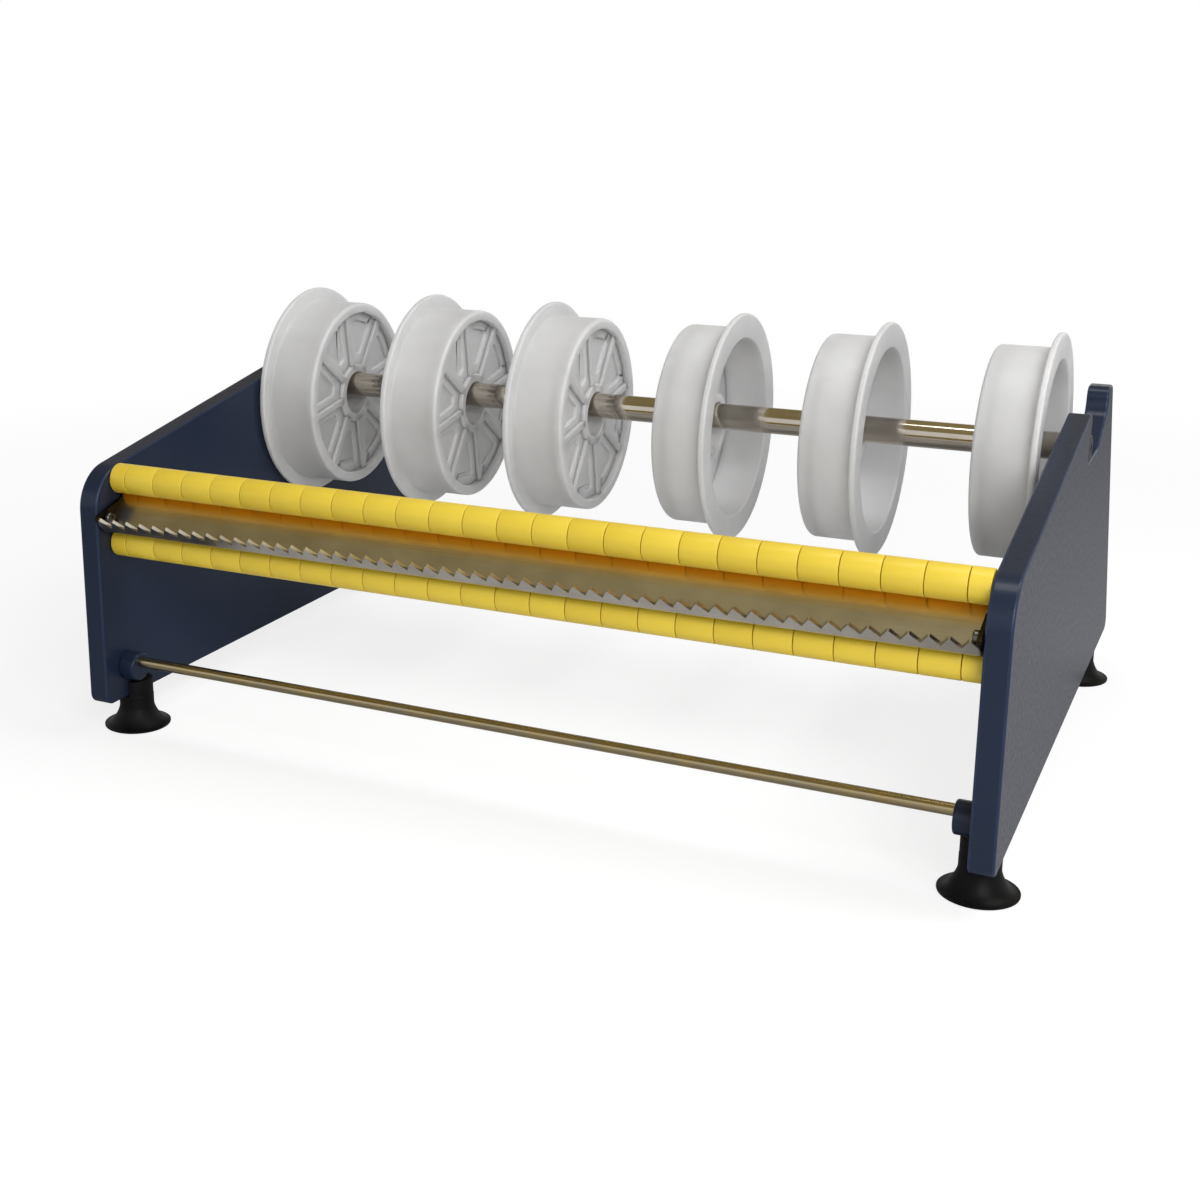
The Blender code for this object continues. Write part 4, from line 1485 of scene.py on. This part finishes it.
@dataclass
class Rollers:
    """Both rollers: a rod with a collar at each end and loose rings between them."""

    layout: Layout
    upper_depth: float = 13.5 * MM
    upper_height: float = 98.3 * MM
    lower_depth: float = 12.2 * MM
    lower_height: float = 74.7 * MM
    ring_radius: float = 5.5 * MM
    ring_bore: float = 3.35 * MM
    ring_edge: float = 0.25 * MM
    ring_gap: float = 0.26 * MM
    sleeve_pitch: float = 25.1 * MM
    sleeves: int = 12
    rings_each: int = 2
    rod_radius: float = 3.0 * MM
    rod_seat: float = 4.0 * MM
    rod_edge: float = 0.4 * MM
    rod_sides: int = 40
    bore_edge: float = 0.15 * MM
    sharp: float = 15.0
    seed: int = 7
    finish: Finish = YellowAcetal()
    rod_finish: Finish = ZincPlatedSteel()

    def place(self, row: RollerRow) -> Point:
        """Depth and height of a roller's axis."""
        upper, lower = (self.upper_depth, self.upper_height), (self.lower_depth, self.lower_height)
        return upper if row is RollerRow.UPPER else lower

    def build_rod(self, row: RollerRow) -> Item:
        """Build the rod of one roller, whose ends stand in the plates' bores."""
        rod = rod_profile(self.layout.inner_half + self.rod_seat, self.rod_radius, self.rod_edge)
        return turned_piece(f"{row.value}_roller_rod", self.rod_finish, FRAME_BODY, rod,
                            self.rod_sides, self.layout.at(*self.place(row)))

    def build_collars(self, row: RollerRow) -> list[Item]:
        """Build the two collars that take up the rest of the rod's length.

        Args:
            row: Which roller.

        Returns:
            The collars.
        """
        length = self.layout.inner_half - self.sleeve_pitch * self.sleeves / 2
        start = self.layout.inner_half - length + RUNNING_GAP / 2
        end = self.layout.inner_half - RUNNING_GAP
        collar = tube_profile(start, end, self.ring_bore, self.ring_radius, self.bore_edge,
                              self.ring_edge)
        place = self.layout.at(*self.place(row))
        return [turned_piece(f"{row.value}_collar_{side.word}", self.finish, FRAME_BODY, collar,
                             RING_SIDES, place, looped=True, way=side.value) for side in Side]

    def build_sleeves(self, row: RollerRow, tree: NodeShape) -> list[Item]:
        """Build the loose rings, two on each body.

        Args:
            row: Which roller.
            tree: The tree that makes a row of rings.

        Returns:
            One piece for each body.
        """
        depth, height = self.place(row)
        pitch = self.sleeve_pitch / self.rings_each
        made = []
        for number in range(self.sleeves):
            middle = (number + 0.5 - self.sleeves / 2) * self.sleeve_pitch
            mesh = tree.grow({
                "Rings": self.rings_each, "Pitch": pitch, "Ring length": pitch - self.ring_gap,
                "Outer radius": self.ring_radius, "Bore radius": self.ring_bore,
                "Edge radius": self.ring_edge, "Place": (middle, self.layout.y(depth), height),
                "Seed": self.seed + number, "Finish": self.finish.material()})
            sleeve = Shaper()
            sleeve.add_mesh(mesh)
            node = f"{row.value}_sleeve_{number + 1:02d}"
            made.append(sleeve.piece(node, self.finish, f"{node}_body", self.sharp))
        return made

    def build(self) -> list[Item]:
        """Build both rollers.

        Returns:
            Rods, collars and rings.
        """
        tree = ring_row_tree()
        made = []
        for row in RollerRow:
            made.append(self.build_rod(row))
            made.extend(self.build_collars(row))
            made.extend(self.build_sleeves(row, tree))
        return made


@dataclass
class TearBar:
    """The folded sheet with teeth along its front lip, its ears and their screws."""

    layout: Layout
    tip: Point = (-3.0 * MM, 86.0 * MM)
    bend: Point = (4.0 * MM, 79.4 * MM)
    back: Point = (15.6 * MM, 91.65 * MM)
    sheet: float = 1.2 * MM
    bend_radius: float = 1.7 * MM
    teeth: int = 54
    tooth_length: float = 5.0 * MM
    tip_land: float = 0.5 * MM
    ear_thickness: float = 1.5 * MM
    ear_share: float = 0.95
    screw_place: Point = (4.0 * MM, 85.4 * MM)
    screw_radius: float = 1.25 * MM
    head_radius: float = 2.3 * MM
    head_height: float = 1.6 * MM
    socket_radius: float = 1.1 * MM
    screw_reach: float = 4.0 * MM
    back_edge: float = 0.4 * MM
    fold_step: float = math.radians(12)
    sharp: float = 25.0
    ear_rise_share: float = 0.7
    ear_corner: float = 1.0 * MM
    ear_inset: float = 0.01 * MM
    ear_edge: float = 0.2 * MM
    ear_edge_steps: int = 2
    arc_step: float = math.radians(20)
    screw_edge: float = 0.3 * MM
    head_foot_edge: float = 0.1 * MM
    head_edge: float = 0.6 * MM
    socket_rim_share: float = 1.2
    socket_depth_share: float = 0.55
    screw_sides: int = 36
    finish: Finish = PolishedStainless()
    screw_finish: Finish = ZincPlatedSteel()

    def fold_points(self) -> list[Vector]:
        """The outer corners of the section in world Y and Z: tip, bend and back."""
        return [Vector((self.layout.y(depth), height))
                for depth, height in (self.tip, self.bend, self.back)]

    def section(self) -> tuple[list[Vector], Vector, Vector]:
        """Section of the folded sheet.

        Returns:
            The section's points with the first again at the end, a point on the
            root line of the teeth, and the way up the lip.
        """
        tip, bend, back = self.fold_points()
        lip = (tip - bend).normalized()
        web = (back - bend).normalized()
        lip_normal = Vector((lip.y, -lip.x))
        web_normal = Vector((-web.y, web.x))
        both = lip_normal + web_normal
        inner_bend = bend + both / both.dot(lip_normal) * self.sheet
        root = tip - lip * self.tooth_length
        corners = (
            Corner(*root), Corner(*tip), Corner(*(tip + lip_normal * self.sheet)),
            Corner(*(root + lip_normal * self.sheet)),
            Corner(*inner_bend, self.bend_radius - self.sheet),
            Corner(*(back + web_normal * self.sheet), self.back_edge),
            Corner(*back, self.back_edge), Corner(*bend, self.bend_radius))
        points = rounded(corners, step=self.fold_step)
        points.append(points[0])
        return ([Vector((0.0, y, z)) for y, z in points], Vector((0.0, root.x, root.y)),
                Vector((0.0, lip.x, lip.y)))

    def build_sheet(self) -> Item:
        """Build the sheet with its teeth and the ears at its ends.

        Returns:
            The tear bar.
        """
        points, root, lip = self.section()
        base = bpy.data.meshes.new("section")
        base.from_pydata([tuple(point) for point in points], [], [])
        half = self.layout.inner_half - RUNNING_GAP
        mesh = toothed_sheet_tree().grow({
            "Teeth": self.teeth, "Pitch": 2 * half / self.teeth, "Tip land": self.tip_land,
            "Root": tuple(root), "Lip": tuple(lip), "Rows": len(points),
            "Finish": self.finish.material()}, base)
        shaper = Shaper()
        shaper.add_mesh(mesh)
        bmesh.ops.remove_doubles(shaper.work, verts=shaper.work.verts, dist=TREE_WELD)
        rim = [edge for edge in shaper.work.edges if edge.is_boundary]
        bmesh.ops.holes_fill(shaper.work, edges=rim, sides=0)
        self.add_ears(shaper)
        inner_bend = Vector((self.layout.y(self.bend[0]), self.bend[1] + self.sheet))
        upper_limit = self.layout.y((self.bend[0] + self.back[0]) / 2)

        # This mask places the painted shade in the fold and on the ears.
        def in_fold(place: Vector) -> float:
            """1 on the ears and at the bottom of the fold, and 0 elsewhere."""
            on_ear = abs(place.x) > half - self.ear_thickness - SUPPORT
            at_bend = (Vector((place.y, place.z)) - inner_bend).length < self.bend_radius / 2
            return float(on_ear or at_bend)

        # This mask places the painted yellow reflection of the rings on the web.
        def on_upper_part(place: Vector) -> float:
            """1 on the upper part of the web, and 0 elsewhere."""
            return float(place.y > upper_limit)

        return shaper.piece("tear_bar", self.finish, FRAME_BODY, self.sharp,
                            {EDGE: in_fold, UPPER_PART: on_upper_part})

    def add_ears(self, shaper: Shaper) -> None:
        """Add the three-cornered ear that closes each end of the fold.

        Args:
            shaper: The faces of the sheet, which get those of the ears.
        """
        tip, bend, back = self.fold_points()
        middle = bend + Vector((0.0, self.sheet * self.ear_rise_share))
        outline = rounded((
            Corner(*middle, self.ear_corner / 2),
            Corner(*(middle + (back - bend) * self.ear_share), self.ear_corner),
            Corner(*(middle + (tip - bend) * self.ear_share), self.ear_corner)), step=self.arc_step)
        half = self.layout.inner_half - RUNNING_GAP
        for side in Side:
            outer = side.value * (half - self.ear_inset)
            inner = side.value * (half - self.ear_thickness)
            shaper.prism(outline, outer, inner, self.ear_edge, self.ear_edge_steps)

    def build_screw(self, side: Side) -> Item:
        """Build the socket-head screw that holds one ear.

        Args:
            side: Which end.

        Returns:
            The screw, its head inside the fold.
        """
        seat = self.layout.inner_half - 2 * RUNNING_GAP - self.ear_thickness
        top = seat - self.head_height
        tip = self.layout.inner_half + self.screw_reach
        sides = self.screw_sides
        profile = rounded((
            Corner(tip, 0.0), Corner(tip, self.screw_radius, self.screw_edge),
            Corner(seat, self.screw_radius), Corner(seat, self.head_radius, self.head_foot_edge),
            Corner(top, self.head_radius, self.head_edge),
            Corner(top, self.socket_radius * self.socket_rim_share)),
            closed=False, step=self.arc_step)
        rings = [Shaper.ring(side.value * along, radius, sides) for along, radius in profile]
        # The two rings of the socket follow a hexagon, one flat of which spans a sixth of a turn.
        half_flat = math.pi / 6
        across = self.socket_radius * math.cos(half_flat)
        for along in (top, top + self.head_height * self.socket_depth_share):
            ring = []
            for place in range(sides):
                angle = math.tau * place / sides
                reach = across / math.cos(angle % (2 * half_flat) - half_flat)
                ring.append(Vector((
                    side.value * along, reach * math.cos(angle), reach * math.sin(angle))))
            rings.append(ring)
        screw = Shaper()
        rows = screw.loft(rings)
        screw.work.faces.new(rows[-1])
        screw.move(self.layout.at(*self.screw_place))
        return screw.piece(f"tear_bar_screw_{side.word}", self.screw_finish, FRAME_BODY)

    def build(self) -> list[Item]:
        """Build the bar and its two screws."""
        return [self.build_sheet(), *(self.build_screw(side) for side in Side)]


@dataclass
class TieRod:
    """The thin rod low at the front, and the boss at each of its ends."""

    layout: Layout
    depth: float = 12.8 * MM
    height: float = 27.8 * MM
    radius: float = 2.0 * MM
    seat: float = 4.0 * MM
    edge: float = 0.3 * MM
    sides: int = 36
    boss_radius: float = 5.4 * MM
    boss_length: float = 6.5 * MM
    boss_drop: float = 2.0 * MM
    boss_edge: float = 0.8 * MM
    boss_sides: int = 56
    finish: Finish = YellowPassivatedSteel()
    boss_finish: Finish = NavyPowderCoat()

    def build(self) -> list[Item]:
        """Build the rod and both bosses.

        Returns:
            The three pieces.
        """
        inner = self.layout.inner_half
        rod = rod_profile(inner + self.seat, self.radius, self.edge)
        place = self.layout.at(self.depth, self.height)
        made = [turned_piece("tie_rod", self.finish, FRAME_BODY, rod, self.sides, place)]
        base, front = inner - RUNNING_GAP, inner - self.boss_length
        boss = (Corner(base, 0.0), Corner(base, self.boss_radius, self.edge),
                Corner(front, self.boss_radius, self.boss_edge), Corner(front, 0.0))
        place = self.layout.at(self.depth, self.height - self.boss_drop)
        for side in Side:
            made.append(turned_piece(f"rod_boss_{side.word}", self.boss_finish, FRAME_BODY, boss,
                                     self.boss_sides, place, way=side.value))
        return made


@dataclass
class SuctionCups:
    """The four rubber cups that the plates stand on."""

    layout: Layout
    radius: float = 12.5 * MM
    neck_radius: float = 6.5 * MM
    rim_height: float = 0.8 * MM
    rim_width: float = 1.4 * MM
    shoulder_height: float = 8.0 * MM
    hollow_height: float = 3.0 * MM
    inset: float = 3.0 * MM
    lug_height: float = 6.0 * MM
    lug_inset: float = 0.1 * MM
    front_depth: float = 18.6 * MM
    rear_depth: float = 231.74 * MM
    peg_radius: float = 2.0 * MM
    peg_length: float = 8.0 * MM
    neck_edge: float = 0.5 * MM
    flare_steps: int = 12
    drop_power: float = 1.9
    flare_power: float = 1.25
    lip_height: float = 0.15 * MM
    lip_inset: float = 0.1 * MM
    rim_inset: float = 0.35 * MM
    hollow_steps: int = 8
    lug_steps: int = 10
    lug_edge: float = 0.6 * MM
    lug_edge_steps: int = 3
    sides: int = 96
    peg_sides: int = 24
    finish: Finish = BlackNitrile()

    def profile(self) -> list[Point]:
        """Section of a cup in height and radius, from its neck down and into its hollow.

        Returns:
            The section, from pole to pole.
        """
        top = self.layout.table_clearance - RUNNING_GAP
        points = list(rounded((
            Corner(top, 0.0), Corner(top, self.neck_radius, self.neck_edge),
            Corner(self.shoulder_height, self.neck_radius)), closed=False))
        sweep = self.radius - self.neck_radius
        drop = self.shoulder_height - self.rim_height
        for step in range(1, self.flare_steps + 1):
            share = step / self.flare_steps
            points.append((self.shoulder_height - drop * (1 - (1 - share) ** self.drop_power),
                           self.neck_radius + sweep * share ** self.flare_power))
        inner = self.radius - self.rim_width
        points.extend([
            (self.rim_height / 2, self.radius), (self.lip_height, self.radius - self.lip_inset),
            (0.0, self.radius - self.rim_inset), (0.0, inner)])
        for step in range(1, self.hollow_steps):
            turn = math.pi / 2 * step / self.hollow_steps
            points.append((self.hollow_height * math.sin(turn), inner * math.cos(turn)))
        points.append((self.hollow_height, 0.0))
        return points

    def lug_outline(self, side: Side) -> list[Point]:
        """Outline of the lug on the neck, flat against the plate's inner face.

        Args:
            side: Which plate the cup belongs to.

        Returns:
            Points in X and Y about the cup's axis.
        """
        across = self.layout.inner_half + self.layout.plate_thickness / 2 - self.inset
        face = side.value * (self.layout.inner_half - RUNNING_GAP - across)
        radius = self.neck_radius - self.lug_inset
        half_turn = math.acos(-side.value * face / radius)
        steps = self.lug_steps
        angles = [half_turn * step / steps for step in range(-steps, steps + 1)]
        return [(-side.value * radius * math.cos(angle), radius * math.sin(angle))
                for angle in angles]

    def build_cup(self, side: Side, end: str, depth: float) -> Item:
        """Build one cup with its lug and its peg.

        Args:
            side: Which plate.
            end: Which end of the plate, as the CAD node's name has it.
            depth: Depth of the cup's axis.

        Returns:
            The cup.
        """
        upright = Matrix.Rotation(-math.pi / 2, 4, "Y")
        top = self.layout.table_clearance - RUNNING_GAP
        middle = self.layout.inner_half + self.layout.plate_thickness / 2
        cup = Shaper()
        cup.turn(self.profile(), self.sides, looped=False)
        cup.move(upright)
        lug = self.lug_outline(side)
        low, high = top - self.lug_height / 2, top + self.lug_height
        edge = quarter_round(self.lug_edge, self.lug_edge_steps)
        levels = [(low, 0.0), *((high - drop, inset) for drop, inset in edge)]
        cup.loft([[Vector((x, y, z)) for x, y in offset(lug, -inset)] for z, inset in levels],
                 caps=True)
        peg = Shaper()
        foot, tip = top - self.peg_radius, top + self.peg_length
        peg.turn(rounded((
            Corner(foot, 0.0), Corner(foot, self.peg_radius),
            Corner(tip, self.peg_radius, self.neck_edge), Corner(tip, 0.0)), closed=False),
            self.peg_sides, looped=False)
        peg.move(Matrix.Translation((side.value * self.inset, 0.0, 0.0)) @ upright)
        cup.add_mesh(peg.to_mesh("peg"))
        cup.move(self.layout.at(depth, 0.0, side.value * (middle - self.inset)))
        return cup.piece(f"suction_cup_{end}_{side.word}", self.finish, FRAME_BODY)

    def build(self) -> list[Item]:
        """Build the four cups."""
        ends = (("front", self.front_depth), ("rear", self.rear_depth))
        return [self.build_cup(side, end, depth) for side in Side for end, depth in ends]


# ---------------------------------------------------------------- studio


WHITE = "#ffffff"


def cleared_tree(owner: Any) -> Tree:
    """Switch a material or a world to nodes, and empty its tree.

    Args:
        owner: The material or world.

    Returns:
        Its empty tree.
    """
    owner.use_nodes = True
    owner.node_tree.nodes.clear()
    return owner.node_tree


def glow(tree: Tree, colour: Any, kind: str = "ShaderNodeEmission",
         strength: float = 1.0) -> Socket:
    """A shader that gives off a colour."""
    return add_node(tree, kind, {"Color": colour, "Strength": strength}).outputs[0]


def matt(tree: Tree, code: str) -> Socket:
    """A matt shader of an sRGB hex colour."""
    return add_node(tree, "ShaderNodeBsdfDiffuse", {"Color": srgb(code)}).outputs[0]


def mix(tree: Tree, factor: Socket, first: Socket, second: Socket) -> Socket:
    """Mix two shaders by the share of the second."""
    return add_node(tree, "ShaderNodeMixShader", {0: factor, 1: first, 2: second}).outputs[0]


def seen_directly(tree: Tree) -> Socket:
    """1 on camera and glass rays, and 0 on all others."""
    rays = add_node(tree, "ShaderNodeLightPath").outputs
    return maths(tree, "MAXIMUM", rays["Is Camera Ray"], rays["Is Transmission Ray"])


def seen_mirrored(tree: Tree) -> Socket:
    """1 on the rays that glossy surfaces mirror, and 0 on all others."""
    return add_node(tree, "ShaderNodeLightPath").outputs["Is Glossy Ray"]


def level_sheet(name: str, low: Point, high: Point, height: float,
                material: bpy.types.Material) -> Item:
    """Lay a level four-cornered sheet.

    Args:
        name: Name of the sheet.
        low: X and Y of one corner.
        high: X and Y of the opposite corner. The sheet faces down if its Y is the lower.
        height: Z of the sheet.
        material: What it is made of.

    Returns:
        The sheet.
    """
    mesh = bpy.data.meshes.new(name)
    outline = (low, (high[0], low[1]), high, (low[0], high[1]))
    mesh.from_pydata([(x, y, height) for x, y in outline], [], [(0, 1, 2, 3)])
    mesh.materials.append(material)
    return put(name, mesh)


@dataclass(frozen=True)
class Lamp:
    """A soft square lamp: its name, its place, its width and its power in watts."""

    name: str
    place: Triple
    width: float
    power: float

    def hang(self, target: Triple) -> None:
        """Add the lamp to the scene.

        Args:
            target: The point that it faces.
        """
        lamp = bpy.data.lights.new(self.name, "AREA")
        lamp.shape = "RECTANGLE"
        lamp.size = lamp.size_y = self.width
        lamp.energy = self.power
        item = put(self.name, lamp)
        item.location = self.place
        item.rotation_mode = "QUATERNION"
        item.rotation_quaternion = (Vector(target) - Vector(self.place)).to_track_quat("-Z", "Y")


@dataclass
class Studio:
    """White floor and surround, soft lamps, a tan canopy and the camera."""

    layout: Layout
    camera_place: Triple = (232.17 * MM, -472.74 * MM, 241.33 * MM)
    lens: float = 50.83
    shift: Point = (0.10649, -0.07474)
    yaw: float = math.radians(26.604)
    pitch: float = math.radians(14.345)
    roll: float = math.radians(-0.142)
    sensor_width: float = 36.0
    clip: Point = (0.01, 50.0)
    surround: float = 0.38
    floor_half: float = 3.0
    floor_drop: float = 0.1 * MM
    floor_fade: Point = (0.3, 0.75)
    floor_paper: str = "#919191"
    floor_glow: str = "#e1e1e1"
    floor_plain: str = "#e6e6e6"
    floor_mirrored: str = "#bebebe"
    canopy_half: float = 3.5
    canopy_depths: Point = (4.8, -2.2)
    canopy_height: float = 1.7
    canopy_span: Point = (-1.5, 0.0)
    canopy_colours: tuple[str, str] = ("#867852", "#a69a70")
    lamp_target: Triple = (0.0, 0.0, 0.05)
    lamps: tuple[Lamp, ...] = (
        Lamp("overhead", (0.5, 0.05, 0.8), 0.35, 2.6), Lamp("top", (0.06, -0.06, 1.0), 0.25, 1.2),
        Lamp("key", (0.5, -0.7, 0.5), 0.45, 4.5))

    def build_camera(self) -> None:
        """Set the camera where the photograph was taken from."""
        x, y, z = self.camera_place
        away = Vector((-math.sin(self.yaw) * math.cos(self.pitch),
                       math.cos(self.yaw) * math.cos(self.pitch), -math.sin(self.pitch)))
        right = Vector((math.cos(self.yaw), math.sin(self.yaw), 0.0))
        up = right.cross(away)
        turned_right = math.cos(self.roll) * right + math.sin(self.roll) * up
        turned_up = math.cos(self.roll) * up - math.sin(self.roll) * right
        lens = bpy.data.cameras.new("camera")
        lens.lens = self.lens
        lens.sensor_width = self.sensor_width
        lens.sensor_fit = "HORIZONTAL"
        lens.shift_x, lens.shift_y = self.shift
        lens.clip_start, lens.clip_end = self.clip
        camera = put("camera", lens)
        turn = Matrix((turned_right, turned_up, -away)).transposed().to_4x4()
        turn.translation = (x, self.layout.y(y), z)
        camera.matrix_world = turn
        bpy.context.scene.camera = camera

    def build_world(self) -> None:
        """White where it is seen, and a plain grey level where it lights the object."""
        world = bpy.data.worlds.new("studio")
        bpy.context.scene.world = world
        tree = cleared_tree(world)
        seen = glow(tree, srgb(WHITE), "ShaderNodeBackground")
        light = glow(tree, srgb(WHITE), "ShaderNodeBackground", self.surround)
        unseen = mix(tree, seen_mirrored(tree), light, seen)
        surface = mix(tree, seen_directly(tree), unseen, seen)
        add_node(tree, "ShaderNodeOutputWorld", {"Surface": surface})

    def build_floor(self) -> None:
        """Lay matt white paper just under the cups.

        It keeps the object's shadow and fades to white away from it. Glossy surfaces
        mirror it as a greyer table top.
        """
        made = bpy.data.materials.new("white_paper_floor")
        tree = cleared_tree(made)
        near = add_node(tree, "ShaderNodeAddShader", {
            0: matt(tree, self.floor_paper), 1: glow(tree, srgb(self.floor_glow))})
        away = add_node(tree, "ShaderNodeVectorMath", {0: own_place(tree)}, operation="LENGTH")
        far = spread(tree, away.outputs["Value"], 0.0, 1.0, self.floor_fade)
        faded = mix(tree, far, near.outputs[0], glow(tree, srgb(WHITE)))
        plain, mirrored = matt(tree, self.floor_plain), matt(tree, self.floor_mirrored)
        unseen = mix(tree, seen_mirrored(tree), plain, mirrored)
        surface = mix(tree, seen_directly(tree), unseen, faded)
        add_node(tree, "ShaderNodeOutputMaterial", {"Surface": surface})
        half = self.floor_half
        floor = level_sheet("floor", (-half, -half), (half, half), -self.floor_drop, made)
        floor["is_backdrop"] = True

    def build_canopy(self) -> None:
        """Hang a tan canopy, as a warm studio ceiling that only glossy surfaces mirror."""
        made = bpy.data.materials.new("tan_canopy_cloth")
        tree = cleared_tree(made)
        share = spread(tree, own_x(tree), 0.0, 1.0, self.canopy_span)
        cloth = glow(tree, blend(tree, share, *(srgb(code) for code in self.canopy_colours)))
        add_node(tree, "ShaderNodeOutputMaterial", {"Surface": cloth})
        half = self.canopy_half
        back, front = self.canopy_depths
        canopy = level_sheet("canopy", (-half, back), (half, front), self.canopy_height, made)
        canopy.visible_camera = False
        canopy.visible_diffuse = False
        canopy.visible_shadow = False
        canopy.visible_transmission = False
        canopy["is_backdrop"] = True

    def build(self) -> None:
        """Build the whole studio."""
        self.build_camera()
        self.build_world()
        self.build_floor()
        self.build_canopy()
        for lamp in self.lamps:
            lamp.hang(self.lamp_target)
        bpy.context.scene.view_settings.view_transform = "Standard"


def report(label: str, pieces: Iterable[Item]) -> None:
    """Log each piece of a sub-assembly with its number of faces."""
    for piece in pieces:
        LOG.info("%s: %s, %d faces", label, piece.name, len(piece.data.polygons))


def corners(box: tuple[Vector, Vector]) -> list[list[float]]:
    """A box's two corners as plain lists."""
    return [[float(value) for value in corner] for corner in box]


def clear_scene() -> None:
    """Remove every object that the start-up file holds."""
    for item in list(bpy.data.objects):
        bpy.data.objects.remove(item, do_unlink=True)


def main() -> None:
    """Load the frame, build each sub-assembly on it and set up the studio."""
    logging.basicConfig(level=logging.INFO, format="%(message)s")
    clear_scene()
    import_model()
    cad_box = corners(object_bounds())
    layout = Layout(front_y=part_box("side_plate_left")[0].y)
    report("side plates", SidePlates(layout).build())
    report("roll shaft", RollShaft(layout).build())
    report("core discs", CoreDiscs(layout).build())
    report("rollers", Rollers(layout).build())
    report("tear bar", TearBar(layout).build())
    report("tie rod", TieRod(layout).build())
    report("suction cups", SuctionCups(layout).build())
    Studio(layout).build()
    {"cad": cad_box, "visual": corners(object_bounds())}


if __name__ == "__main__":
    main()
